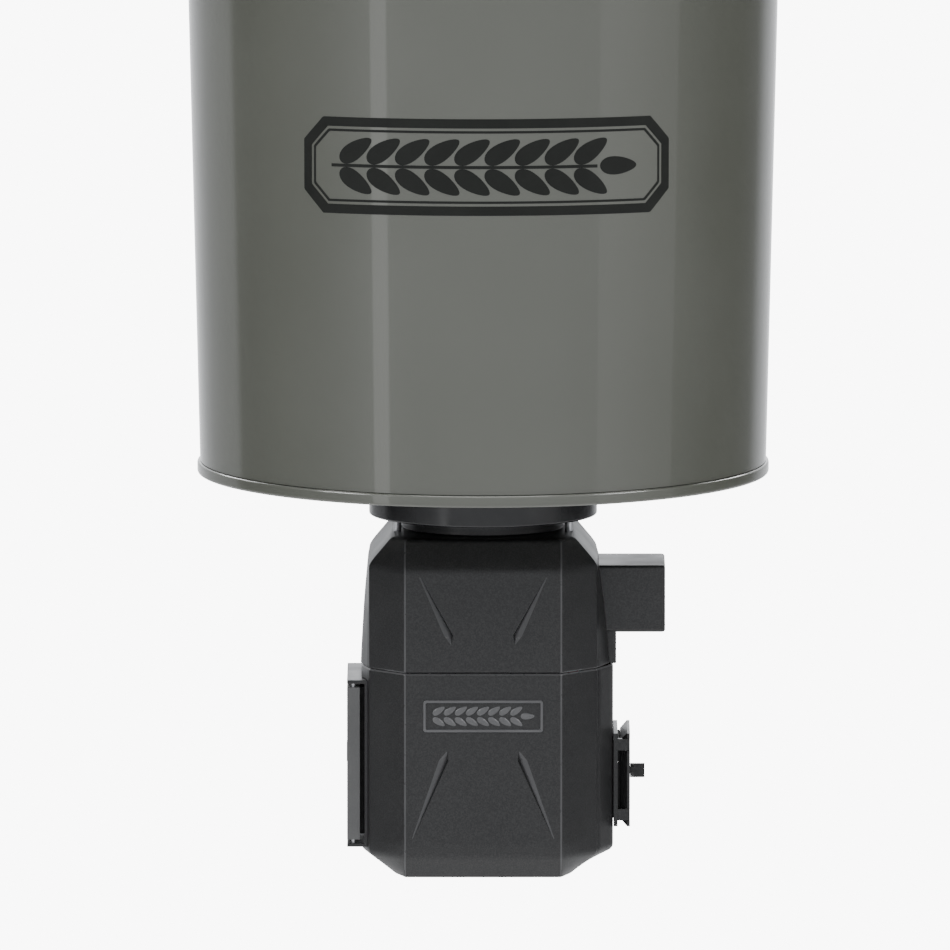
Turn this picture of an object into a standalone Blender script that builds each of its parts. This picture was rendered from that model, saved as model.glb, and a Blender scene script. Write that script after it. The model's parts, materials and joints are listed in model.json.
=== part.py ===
"""Hanging spin cast feeder: a steel feed pail with a bail, over a twist-lock casting unit.

The origin is the hang point, under the crown of the bail. +Z is up, and the discharge chute
points along +X. Sizes are in millimetres times MM, and heights in the casting unit are
measured from the foot of the pail.
"""

import math

import bmesh
import bpy

MM = 0.001
FIT = 0.3 * MM  # gap between pieces that touch or slide
RUNNING = 0.3 * MM  # radial clearance of pins and shafts in their holes
OVERLAP = 1.0 * MM  # how far joined shapes and cutters pass each other

# --- pail -------------------------------------------------------------------------------------
PAIL_HEIGHT = 350.0 * MM
PAIL_BASE_RADIUS = 147.0 * MM
PAIL_TOP_RADIUS = 155.3 * MM
PAIL_WALL = 0.8 * MM
CURL_RADIUS = 3.0 * MM
CHIME_HEIGHT = 6.2 * MM
CHIME_PROUD = 1.6 * MM
CHIME_DEPTH = 3.0 * MM
OUTLET_RADIUS = 40.0 * MM
FUNNEL_RISE = 60.0 * MM
FUNNEL_WALL = 2.0 * MM
FUNNEL_MOUTH_RADIUS = 36.0 * MM
LID_SKIRT = 11.0 * MM
LID_RECESS = 7.0 * MM
LID_WALL = 0.8 * MM

# --- bail and ears ------------------------------------------------------------------------------
BAIL_DROP = 180.0 * MM  # from the hang point down to the pivot
BAIL_WIRE_RADIUS = 2.5 * MM
BAIL_CORNER = 60.0 * MM
BAIL_CROWN_RADIUS = 11.0 * MM
PIVOT_BELOW_RIM = 38.0 * MM
EAR_STAND = 9.5 * MM  # from the pail wall out to the face of the ear's boss
BAIL_BEND = 4.6 * MM  # radius of the hooked ends, along the wire's middle
BAIL_CLEAR = 2.4 * MM  # between the boss and the bail's leg
EAR_BOSS_RADIUS = 9.0 * MM
EAR_PLATE = (26.0 * MM, 40.0 * MM)
EAR_PLATE_THICK = 1.6 * MM
RIVET_SPACING = 30.0 * MM
RIVET_RADIUS = 2.4 * MM

# --- twist lock and collar ----------------------------------------------------------------------
COLLAR_RADIUS = 59.3 * MM
COLLAR_WALL = 3.0 * MM
COLLAR_DROP = 22.2 * MM
COLLAR_FLOOR = 2.5 * MM
LUG_COUNT = 3
LUG_ANGLE = math.radians(28.0)
LUG_THICK = 3.0 * MM
LUG_TOP = 7.7 * MM
LUG_REACH = 5.5 * MM
FLANGE_WALL = 3.0 * MM
FLANGE_RADIUS = 49.0 * MM
FLANGE_BRIM = 55.0 * MM
BOLT_RADIUS = 2.0 * MM
HEAD_RADIUS = 3.5 * MM
HEAD_HEIGHT = 2.2 * MM
POST_PLACE = (44.5 * MM, 18.0 * MM)

# --- housing ------------------------------------------------------------------------------------
SHELL_WALL = 2.5 * MM
FRONT_HALF_WIDTH = 40.6 * MM
HALF_DEPTH = 61.0 * MM
CHAMFER = 18.7 * MM
FLAT_HALF = 24.0 * MM  # half length of each side's flat middle
BULGE_LEFT = 3.9 * MM
BULGE_RIGHT = 8.3 * MM
ROOF_Z = -29.0 * MM
SHOULDER_DROP = 11.0 * MM
SHOULDER_INSET = 12.0 * MM
FRONT_LEAN = 8.0 * MM
PARTING_Z = -98.0 * MM
FLOOR_Z = -205.7 * MM
BEVEL_HEIGHT = 11.0 * MM
BEVEL_INSET = 14.3 * MM
NECK_RADIUS = 41.6 * MM
NECK_RISE = 13.0 * MM
BOSS_PLACE = (33.0 * MM, 47.5 * MM)
BOSS_RADIUS = 4.5 * MM
COLUMN_RADIUS = 5.5 * MM
SCREW_SHANK = 30.0 * MM
COUNTERBORE_TOP = 14.0 * MM  # below the parting line

# --- casting chamber ----------------------------------------------------------------------------
CHUTE_REACH = 94.6 * MM
CHUTE_HALF_WIDTH = 25.0 * MM
CHUTE_TOP = -46.5 * MM
CHUTE_HEIGHT = 35.0 * MM
CHUTE_WALL = 2.0 * MM
THROAT_RADIUS = 19.0 * MM
THROAT_WALL = 1.6 * MM
DECK_RADIUS = 52.0 * MM
DECK_THICK = 2.5 * MM
SHROUD_RADIUS = 48.0 * MM
SHROUD_WALL = 2.0 * MM
SPINNER_RADIUS = 40.0 * MM
SPINNER_THICK = 1.5 * MM
FIN_HEIGHT = 12.0 * MM
FIN_THICK = 1.2 * MM
FIN_COUNT = 4
HUB_RADIUS = 6.0 * MM
SHAFT_RADIUS = 1.5 * MM
MOTOR_RADIUS = 13.85 * MM
MOTOR_LENGTH = 26.0 * MM

# --- battery side -------------------------------------------------------------------------------
BATTERY = (101.0 * MM, 47.0 * MM, 70.0 * MM)
BATTERY_CENTRE_Y = -5.0 * MM
DOOR_FRAME_FACE = 61.6 * MM
DOOR_FRAME_DEPTH = 5.5 * MM
DOOR_FRAME_FRONT = 38.0 * MM
DOOR_FRAME_BACK = 28.5 * MM
DOOR_LIP = 1.8 * MM
DOOR_GAP = 2.0 * MM
BATTERY_DOOR_FACE = 70.7 * MM
BATTERY_DOOR_THICK = 6.7 * MM
BATTERY_DOOR_BACK = 23.5 * MM
DOOR_OVERLAP = (3.0 * MM, 4.8 * MM)  # of the door over its opening, above and below
SKIN = 2.0 * MM
PIN_RADIUS = 1.0 * MM

# --- timer side ---------------------------------------------------------------------------------
TIMER_CENTRE_Z = -158.9 * MM
TIMER_SIZE = (50.0 * MM, 48.8 * MM)
TIMER_FLANGE = 2.1 * MM
TIMER_SLEEVE_DEPTH = 14.0 * MM
TIMER_SLEEVE_INSET = 4.0 * MM
TIMER_DOOR_FLARE = 3.6 * MM
TIMER_DOOR_SLAB = 1.5 * MM
TIMER_SEAL = 0.7 * MM
KNOB_RADIUS = 3.8 * MM
KNOB_LENGTH = 7.5 * MM
KNOB_Y = 11.0 * MM
CAM_LENGTH = 5.5 * MM
BUTTON_RADIUS = 3.0 * MM
BUTTON_SPACING = 10.0 * MM
LEAD_RADIUS = 0.9 * MM

# --- places worked out from the sizes -------------------------------------------------------------
PIVOT_Z = -BAIL_DROP
RIM_Z = PIVOT_Z + PIVOT_BELOW_RIM
FOOT_Z = RIM_Z - PAIL_HEIGHT
PAIL_FLOOR_Z = FOOT_Z + CHIME_HEIGHT - 1.2 * MM
SIDE_HALF_WIDTH = FRONT_HALF_WIDTH + CHAMFER
FLANK_HALF_DEPTH = HALF_DEPTH - CHAMFER - 0.3 * MM
CHUTE_BOTTOM = CHUTE_TOP - CHUTE_HEIGHT
DECK_TOP = CHUTE_BOTTOM
SPINNER_Z = DECK_TOP + 5.0 * MM
MOTOR_TOP = DECK_TOP - DECK_THICK - FIT
BATTERY_TOP = MOTOR_TOP - MOTOR_LENGTH - 2.3 * MM
BATTERY_FOOT = BATTERY_TOP - BATTERY[2]
OPENING_TOP = BATTERY_TOP + 1.0 * MM
OPENING_FOOT = BATTERY_FOOT - 1.0 * MM
BATTERY_DOOR_TOP = OPENING_TOP + DOOR_OVERLAP[0]
BATTERY_DOOR_FOOT = OPENING_FOOT - DOOR_OVERLAP[1]
FRAME_TOP = BATTERY_DOOR_TOP + DOOR_GAP + DOOR_LIP
FRAME_FOOT = BATTERY_DOOR_FOOT - DOOR_GAP - DOOR_LIP
RIGHT_FACE = SIDE_HALF_WIDTH + BULGE_RIGHT
TIMER_FLANGE_FACE = RIGHT_FACE + FIT + TIMER_FLANGE
TIMER_NECK_X = TIMER_FLANGE_FACE + FIT + TIMER_SEAL + FIT
TIMER_SLAB_X = TIMER_NECK_X + TIMER_DOOR_FLARE
TIMER_FACE = TIMER_SLAB_X + TIMER_DOOR_SLAB
TIMER_BACK = RIGHT_FACE - TIMER_SLEEVE_DEPTH


# --- scene, materials and finishing ---------------------------------------------------------------
def clear_scene():
    for obj in list(bpy.data.objects):
        bpy.data.objects.remove(obj)


def new_collection(name):
    made = bpy.data.collections.new(name)
    bpy.context.scene.collection.children.link(made)
    return made


def material(name, colour, roughness, metallic=0.0):
    made = bpy.data.materials.new(name)
    made.use_nodes = True
    shader = made.node_tree.nodes["Principled BSDF"]
    shader.inputs["Base Color"].default_value = (*colour, 1.0)
    shader.inputs["Roughness"].default_value = roughness
    shader.inputs["Metallic"].default_value = metallic
    return made


clear_scene()
MODEL = new_collection("spin_cast_feeder")
CUTTERS = new_collection("cutters")

PAINT = material("olive_paint", (0.17, 0.175, 0.155), 0.3, 0.4)
SHELL_PLASTIC = material("black_shell_plastic", (0.03, 0.03, 0.03), 0.55)
INNER_PLASTIC = material("black_inner_plastic", (0.02, 0.02, 0.02), 0.6)
ZINC = material("zinc_plated_steel", (0.6, 0.6, 0.6), 0.35, 1.0)
RUBBER = material("black_rubber", (0.015, 0.015, 0.015), 0.8)
BATTERY_CASE = material("battery_case", (0.12, 0.12, 0.13), 0.5)
BOARD_GREEN = material("circuit_board", (0.02, 0.15, 0.05), 0.5)
SCREEN = material("display_glass", (0.35, 0.4, 0.35), 0.1)
BUTTON_GREY = material("button_grey", (0.25, 0.25, 0.26), 0.6)
RED_WIRE = material("red_wire", (0.5, 0.02, 0.02), 0.5)
BLACK_WIRE = material("black_wire", (0.02, 0.02, 0.02), 0.5)


def take_out(obj):
    for collection in list(obj.users_collection):
        collection.objects.unlink(obj)


def name_part(obj, name, finish):
    """Puts a shape into the model under its name, with its material."""
    obj.name = name
    take_out(obj)
    MODEL.objects.link(obj)
    obj.data.materials.clear()
    obj.data.materials.append(finish)
    if obj.type == "MESH":
        obj.data.shade_smooth()
        obj.data.set_sharp_from_angle(angle=math.radians(35.0))
    return obj


def hide_helper(obj):
    """A cutter, or a shape that another one takes in, isn't a part by itself."""
    take_out(obj)
    CUTTERS.objects.link(obj)
    obj.hide_render = True
    obj.display_type = "WIRE"
    return obj


def cut(target, *tools):
    for tool in tools:
        change = target.modifiers.new("cut", "BOOLEAN")
        change.operation = "DIFFERENCE"
        change.object = hide_helper(tool)
    return target


def join(target, *tools):
    for tool in tools:
        change = target.modifiers.new("join", "BOOLEAN")
        change.operation = "UNION"
        change.object = hide_helper(tool)
    return target


# --- shapes ---------------------------------------------------------------------------------------
def block(low, high):
    """A box between two corners."""
    size = [h - l for l, h in zip(low, high)]
    centre = [(h + l) / 2 for l, h in zip(low, high)]
    bpy.ops.mesh.primitive_cube_add(size=1.0, location=centre)
    obj = bpy.context.object
    obj.scale = size
    bpy.ops.object.transform_apply(location=False, rotation=False, scale=True)
    return obj


def rod(centre, radius, length, axis="Z", sides=12):
    """A cylinder around its centre, along one axis."""
    turn = {"X": (0, math.pi / 2, 0), "Y": (math.pi / 2, 0, 0), "Z": (0, 0, 0)}[axis]
    bpy.ops.mesh.primitive_cylinder_add(
        vertices=sides, radius=radius, depth=length, location=centre, rotation=turn
    )
    bpy.ops.object.transform_apply(location=False, rotation=True, scale=False)
    return bpy.context.object


def upright(x, y, low, high, radius, sides=12):
    """A cylinder along Z between two heights."""
    return rod((x, y, (low + high) / 2), radius, high - low, "Z", sides)


def turned(profile, steps=36, closed=True, axis_at=(0.0, 0.0, 0.0)):
    """A profile of (radius, height) points, running down its outer side, turned round Z."""
    mesh = bpy.data.meshes.new("profile")
    points = [(radius, 0.0, height) for radius, height in profile]
    edges = [(i, i + 1) for i in range(len(points) - 1)]
    if closed:
        edges.append((len(points) - 1, 0))
    mesh.from_pydata(points, edges, [])
    obj = bpy.data.objects.new("turned", mesh)
    obj.location = axis_at
    MODEL.objects.link(obj)
    screw = obj.modifiers.new("turn", "SCREW")
    screw.steps = steps
    screw.render_steps = steps
    screw.use_merge_vertices = True
    screw.merge_threshold = 0.00001
    return obj


def loft(rings):
    """A closed solid through rings of points, bottom to top, each counter-clockwise from above."""
    mesh = bpy.data.meshes.new("loft")
    shape = bmesh.new()
    rows = [[shape.verts.new(point) for point in ring] for ring in rings]
    count = len(rows[0])
    for lower, upper in zip(rows, rows[1:]):
        for i in range(count):
            j = (i + 1) % count
            shape.faces.new((lower[i], lower[j], upper[j], upper[i]))
    shape.faces.new(reversed(rows[0]))
    shape.faces.new(rows[-1])
    bmesh.ops.triangulate(shape, faces=shape.faces)
    bmesh.ops.recalc_face_normals(shape, faces=shape.faces)
    shape.to_mesh(mesh)
    shape.free()
    obj = bpy.data.objects.new("loft", mesh)
    MODEL.objects.link(obj)
    return obj


def wire(points, radius, resolution=2):
    """A round wire or lead through points, as a curve with filled caps."""
    curve = bpy.data.curves.new("wire", "CURVE")
    curve.dimensions = "3D"
    spline = curve.splines.new("POLY")
    spline.points.add(len(points) - 1)
    for place, point in zip(spline.points, points):
        place.co = (*point, 1.0)
    curve.bevel_depth = radius
    curve.bevel_resolution = resolution
    curve.use_fill_caps = True
    obj = bpy.data.objects.new("wire", curve)
    MODEL.objects.link(obj)
    return obj


def arc(centre, radius, start, end, steps):
    """Points of a circular arc as (first, second) coordinates, angles in degrees."""
    angles = [math.radians(start + (end - start) * i / steps) for i in range(steps + 1)]
    return [(centre[0] + radius * math.cos(a), centre[1] + radius * math.sin(a)) for a in angles]


def toward(start, end, distance):
    """A point on the way from one point to another, at most 45% of the way."""
    length = math.dist(start, end)
    share = min(distance / length, 0.45)
    return tuple(a + (b - a) * share for a, b in zip(start, end))


def eased(points, bend, steps=3):
    """A lead's points with each corner eased by a quadratic curve."""
    route = [tuple(points[0])]
    for before, corner, after in zip(points, points[1:], points[2:]):
        start, end = toward(corner, before, bend), toward(corner, after, bend)
        for i in range(steps + 1):
            t = i / steps
            route.append(
                tuple(
                    (1 - t) ** 2 * a + 2 * t * (1 - t) * b + t**2 * c
                    for a, b, c in zip(start, corner, end)
                )
            )
    return [*route, tuple(points[-1])]


def unit_z(height):
    """World height of a height measured from the pail's foot."""
    return FOOT_Z + height


# --- pail, lid and bail -----------------------------------------------------------------------------
def pail_radius(z):
    """Outside radius of the tapered pail wall at a world height."""
    share = (z - FOOT_Z) / PAIL_HEIGHT
    return PAIL_BASE_RADIUS + (PAIL_TOP_RADIUS - PAIL_BASE_RADIUS) * share


def curl_centre():
    return (PAIL_TOP_RADIUS - PAIL_WALL + CURL_RADIUS, RIM_Z - CURL_RADIUS)


def make_pail_shell():
    """Tapered steel wall with a rolled bead at the rim."""
    foot = FOOT_Z + CHIME_HEIGHT + FIT
    meets = math.degrees(math.acos(-1 + PAIL_WALL / CURL_RADIUS))
    bead = arc(curl_centre(), CURL_RADIUS, 180, -meets, 9)
    profile = [
        *bead,
        (pail_radius(foot), foot),
        (pail_radius(foot) - PAIL_WALL, foot),
    ]
    return name_part(turned(profile), "hopper_shell", PAINT)


def make_pail_bottom():
    """Recessed disc with the seamed chime that the wall stands in."""
    outer = PAIL_BASE_RADIUS + CHIME_PROUD
    inner = PAIL_BASE_RADIUS - CHIME_DEPTH
    top = FOOT_Z + CHIME_HEIGHT
    soft = 1.0 * MM
    profile = [
        (inner - soft, top),
        (outer - soft, top),
        (outer, top - soft),
        (outer, FOOT_Z + soft),
        (outer - soft, FOOT_Z),
        (inner, FOOT_Z),
        (inner, PAIL_FLOOR_Z),
        (OUTLET_RADIUS, PAIL_FLOOR_Z),
        (OUTLET_RADIUS, PAIL_FLOOR_Z + PAIL_WALL),
        (inner - soft, PAIL_FLOOR_Z + PAIL_WALL),
    ]
    disc = name_part(turned(profile), "hopper_bottom", PAINT)
    for x, y in bolt_places():
        cut(disc, upright(x, y, PAIL_FLOOR_Z - OVERLAP, PAIL_FLOOR_Z + 2 * OVERLAP, BOLT_RADIUS + FIT))
    return disc


def make_funnel():
    """Plastic cone that leads the feed to the outlet."""
    top = FOOT_Z + FUNNEL_RISE
    foot = PAIL_FLOOR_Z + PAIL_WALL + FIT
    rim = pail_radius(top) - PAIL_WALL - 2 * FIT - FUNNEL_WALL * 0.2
    mouth = FUNNEL_MOUTH_RADIUS
    profile = [
        (rim, top),
        (rim, top - FUNNEL_WALL),
        (mouth + FUNNEL_WALL, foot + FUNNEL_WALL),
        (mouth + FUNNEL_WALL, foot),
        (mouth, foot),
        (mouth, foot + 1.5 * FUNNEL_WALL),
    ]
    return name_part(turned(profile), "hopper_funnel", INNER_PLASTIC)


def make_lid():
    """Steel lid: a recessed panel and a curl that hooks over the rim's bead."""
    bead = curl_centre()
    plug = PAIL_TOP_RADIUS - PAIL_WALL - 1.2 * MM
    skirt = bead[0] + CURL_RADIUS + 3 * FIT
    top = RIM_Z + 3.2 * MM
    panel = RIM_Z - LID_RECESS
    outer = [
        (skirt + LID_WALL - 2.2 * MM, top + LID_WALL),
        (skirt + LID_WALL, top + LID_WALL - 2.2 * MM),
        (skirt + LID_WALL, RIM_Z - LID_SKIRT),
        (skirt, RIM_Z - LID_SKIRT),
        (skirt, top - 1.5 * MM),
        (skirt - 1.5 * MM, top),
        (plug + 1.0 * MM, top),
        (plug, top - 1.0 * MM),
        (plug, panel - LID_WALL),
        (0.0, panel - LID_WALL),
    ]
    inner = [
        (0.0, panel),
        (plug - LID_WALL, panel),
        (plug - LID_WALL, top - 0.6 * MM),
        (plug + 0.4 * MM, top + LID_WALL),
    ]
    return name_part(turned([*inner, *outer], closed=False), "lid", PAINT)


def make_lid_gasket():
    """Rubber ring in the lid's channel, over the bead."""
    bead = curl_centre()
    low = RIM_Z + FIT
    high = RIM_Z + 3.2 * MM - FIT
    half = 2.0 * MM
    profile = [
        (bead[0] + half, high),
        (bead[0] + half, low),
        (bead[0] - half, low),
        (bead[0] - half, high),
    ]
    return name_part(turned(profile), "lid_gasket", RUBBER)


def bail_leg_x():
    return pail_radius(PIVOT_Z) + EAR_STAND + BAIL_CLEAR + BAIL_WIRE_RADIUS


def make_bail():
    """Round wire: hooked ends, upright legs, wide corners and a small crown for the hook."""
    leg = bail_leg_x()
    end = pail_radius(PIVOT_Z) + EAR_PLATE_THICK + 1.5 * MM
    crown_top = BAIL_WIRE_RADIUS
    crown_z = crown_top - BAIL_CROWN_RADIUS
    corner_z = crown_z - BAIL_CORNER - 4.0 * MM
    half = [(end, PIVOT_Z)]
    half += arc((leg - BAIL_BEND, PIVOT_Z + BAIL_BEND), BAIL_BEND, -90, 0, 5)
    half += arc((leg - BAIL_CORNER, corner_z), BAIL_CORNER, 0, 84, 10)
    half += arc((2.6 * BAIL_CROWN_RADIUS, crown_z + 5.0 * MM), 5.0 * MM, 280, 225, 3)
    half += arc((0.0, crown_z), BAIL_CROWN_RADIUS, 40, 90, 4)
    points = [(x, 0.0, z) for x, z in half]
    points += [(-x, 0.0, z) for x, z in reversed(half[:-1])]
    return name_part(wire(points, BAIL_WIRE_RADIUS, 2), "bail_wire", ZINC)


def pail_cutter(clearance):
    """The pail's outside, grown by a clearance, near the ears."""
    low = PIVOT_Z - EAR_PLATE[1]
    high = PIVOT_Z + EAR_PLATE[1]
    profile = [
        (0.0, high),
        (pail_radius(high) + clearance, high),
        (pail_radius(low) + clearance, low),
        (0.0, low),
    ]
    return turned(profile, steps=72, closed=False)


def rivet_heights():
    return {"upper": PIVOT_Z + RIVET_SPACING / 2, "lower": PIVOT_Z - RIVET_SPACING / 2}


def make_ear(side, label):
    """Stamped ear: a plate against the wall, with a boss that the bail's end turns in."""
    wall = pail_radius(PIVOT_Z)
    half_y, half_z = EAR_PLATE[0] / 2, EAR_PLATE[1] / 2
    plate_face = wall + EAR_PLATE_THICK
    ends = sorted((side * (wall - 3.0 * MM), side * plate_face))
    ear = block((ends[0], -half_y, PIVOT_Z - half_z), (ends[1], half_y, PIVOT_Z + half_z))
    boss_end = wall + EAR_STAND
    boss_mid = side * (plate_face - OVERLAP + boss_end) / 2
    boss = rod((boss_mid, 0, PIVOT_Z), EAR_BOSS_RADIUS, boss_end - plate_face + OVERLAP, "X", 24)
    join(ear, boss)
    bore = rod((side * boss_end, 0, PIVOT_Z), BAIL_WIRE_RADIUS + RUNNING, 2 * (EAR_STAND - EAR_PLATE_THICK), "X", 20)
    cut(ear, pail_cutter(FIT), bore)
    for z in rivet_heights().values():
        cut(ear, rod((side * wall, 0, z), RIVET_RADIUS + FIT, 4 * EAR_STAND, "X", 12))
    return name_part(ear, f"bail_ear_{label}", ZINC)


def make_rivet(side, label, place, z):
    """Rivet through the ear and the wall, with a head at each end."""
    face = pail_radius(PIVOT_Z) + EAR_PLATE_THICK + FIT
    back = pail_radius(z) - PAIL_WALL - 3 * FIT
    head = 1.4 * MM
    wide = 1.7 * RIVET_RADIUS
    shank = rod((side * (face + back) / 2, 0, z), RIVET_RADIUS, face - back + head, "X", 12)
    outer = rod((side * (face + head / 2), 0, z), wide, head, "X", 12)
    inner = rod((side * (back - head / 2), 0, z), wide, head, "X", 12)
    return name_part(join(shank, outer, inner), f"ear_rivet_{label}_{place}", ZINC)


def make_pail():
    shell = make_pail_shell()
    make_pail_bottom()
    make_funnel()
    make_lid()
    make_lid_gasket()
    make_bail()
    for side, label in ((-1, "left"), (1, "right")):
        make_ear(side, label)
        for place, z in rivet_heights().items():
            cut(shell, rod((side * pail_radius(z), 0, z), RIVET_RADIUS + FIT, 10 * MM, "X", 12))
            make_rivet(side, label, place, z)


# --- outlet flange, collar and posts ------------------------------------------------------------------
def lug_angles():
    return [math.pi / 2 + 2 * math.pi * i / LUG_COUNT for i in range(LUG_COUNT)]


def bolt_places():
    """Bolt circle of the outlet flange, midway between the lugs."""
    radius = (FLANGE_RADIUS + FLANGE_BRIM) / 2 + 0.5 * MM
    return [
        (radius * math.cos(a + math.pi / LUG_COUNT), radius * math.sin(a + math.pi / LUG_COUNT))
        for a in lug_angles()
    ]


def lug(angle, inner, outer, low, high):
    """A sector of a ring: one lug of the twist lock."""
    turns = [angle - LUG_ANGLE / 2 + LUG_ANGLE * i / 4 for i in range(5)]
    ring = [(outer * math.cos(a), outer * math.sin(a)) for a in turns]
    ring += [(inner * math.cos(a), inner * math.sin(a)) for a in reversed(turns)]
    return loft([[(x, y, low) for x, y in ring], [(x, y, high) for x, y in ring]])


def flange_lug_top():
    """Top of the pail's lugs, which the collar's lugs rest on."""
    return unit_z(-LUG_TOP - LUG_THICK - FIT)


def make_outlet_flange():
    """Ring bolted under the pail, with lugs that carry the collar."""
    top = PAIL_FLOOR_Z - FIT
    brim = top - 2.0 * MM
    foot = flange_lug_top() - LUG_THICK
    inner = FLANGE_RADIUS - FLANGE_WALL
    profile = [
        (FLANGE_BRIM, top),
        (FLANGE_BRIM, brim),
        (FLANGE_RADIUS, brim),
        (FLANGE_RADIUS, foot),
        (inner, foot),
        (inner, top),
    ]
    flange = turned(profile)
    for angle in lug_angles():
        join(flange, lug(angle, FLANGE_RADIUS - OVERLAP, FLANGE_RADIUS + LUG_REACH, foot, flange_lug_top()))
    for x, y in bolt_places():
        cut(flange, upright(x, y, brim - OVERLAP, top + OVERLAP, BOLT_RADIUS + FIT))
    name_part(flange, "outlet_flange", INNER_PLASTIC)
    for number, (x, y) in enumerate(bolt_places(), 1):
        head = upright(x, y, brim - FIT - HEAD_HEIGHT, brim - FIT, 0.8 * HEAD_RADIUS, 12)
        shank = upright(x, y, brim - FIT - OVERLAP, PAIL_FLOOR_Z + 5.0 * MM, BOLT_RADIUS, 12)
        name_part(join(head, shank), f"flange_bolt_{number}", ZINC)


def make_collar():
    """Round collar that twists on to the flange's lugs and carries the casting unit."""
    top = PAIL_FLOOR_Z - 2 * FIT
    foot = unit_z(-COLLAR_DROP)
    inner = COLLAR_RADIUS - COLLAR_WALL
    hole = NECK_RADIUS + 1.4 * MM
    profile = [
        (COLLAR_RADIUS, top),
        (COLLAR_RADIUS, foot + 0.6 * MM),
        (COLLAR_RADIUS - 0.6 * MM, foot),
        (hole, foot),
        (hole, foot + COLLAR_FLOOR),
        (inner, foot + COLLAR_FLOOR),
        (inner, top),
    ]
    collar = turned(profile)
    lug_foot = unit_z(-LUG_TOP - LUG_THICK)
    for angle in lug_angles():
        join(collar, lug(angle, FLANGE_RADIUS + 1.0 * MM, inner + OVERLAP, lug_foot, unit_z(-LUG_TOP)))
    for x, y in post_places():
        cut(collar, upright(x, y, foot - OVERLAP, foot + COLLAR_FLOOR + OVERLAP, BOLT_RADIUS + FIT))
    return name_part(collar, "mounting_collar", SHELL_PLASTIC)


def post_places():
    x, y = POST_PLACE
    return [(x, y), (-x, y), (-x, -y), (x, -y)]


def make_posts():
    """Headed posts that hold the housing a few millimetres under the collar."""
    floor_top = unit_z(-COLLAR_DROP) + COLLAR_FLOOR
    washer_top = unit_z(-COLLAR_DROP) - FIT
    for number, (x, y) in enumerate(post_places(), 1):
        post = upright(x, y, unit_z(ROOF_Z) - 9.0 * MM, floor_top + FIT + OVERLAP, BOLT_RADIUS)
        head = upright(x, y, floor_top + FIT, floor_top + FIT + HEAD_HEIGHT, HEAD_RADIUS)
        washer = upright(x, y, washer_top - 1.2 * MM, washer_top, 3.6 * MM)
        name_part(join(post, head, washer), f"standoff_post_{number}", SHELL_PLASTIC)


# --- housing shells -----------------------------------------------------------------------------------
def plan(z, side=SIDE_HALF_WIDTH, depth=HALF_DEPTH, left=0.0, right=0.0, inset=0.0):
    """One level of the housing: a front panel, chamfers, and sides that swell in the middle."""
    slant = inset * math.tan(math.radians(22.5))
    front = min(FRONT_HALF_WIDTH, side) - slant
    side = side - inset
    flank = FLANK_HALF_DEPTH - slant
    flat = FLAT_HALF - slant * 0.3
    depth = depth - inset
    quarter = [
        (front, -depth),
        (side, -flank),
        (side + right, -flat),
        (side + right, flat),
        (side, flank),
        (front, depth),
        (-front, depth),
        (-side, flank),
        (-side - left, flat),
        (-side - left, -flat),
        (-side, -flank),
        (-front, -depth),
    ]
    return [(x, y, unit_z(z)) for x, y in quarter]


def upper_rings(inset, top, bottom):
    """Levels of the upper shell: swelling sides, then the shoulder and the leaning front."""
    shoulder = ROOF_Z - SHOULDER_DROP
    middle = (PARTING_Z + shoulder) / 2
    left, right = BULGE_LEFT + 0.4 * MM, BULGE_RIGHT - 1.5 * MM
    return [
        plan(bottom, left=left, right=right, inset=inset),
        plan(middle, left=0.62 * left, right=0.62 * right, inset=inset),
        plan(shoulder, depth=HALF_DEPTH - 0.25 * FRONT_LEAN, inset=inset),
        plan(top, side=SIDE_HALF_WIDTH - SHOULDER_INSET, depth=HALF_DEPTH - FRONT_LEAN, inset=inset),
    ]


def lower_rings(inset, top, bottom):
    """Levels of the lower shell: straight sides, then a bevel to the floor."""
    bevel = FLOOR_Z + BEVEL_HEIGHT
    tuck = SIDE_HALF_WIDTH - BEVEL_INSET
    floor = plan(bottom, side=tuck, depth=HALF_DEPTH - 6.0 * MM, inset=inset)
    return [
        floor,
        plan(bevel, left=BULGE_LEFT, right=BULGE_RIGHT, depth=HALF_DEPTH - 0.8 * MM, inset=inset),
        plan(bevel + 7.0 * MM, left=BULGE_LEFT, right=BULGE_RIGHT, inset=inset),
        plan(top, left=BULGE_LEFT, right=BULGE_RIGHT, inset=inset),
    ]


def boss_places():
    x, y = BOSS_PLACE
    return [(x, y), (-x, y), (-x, -y), (x, -y)]


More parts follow.
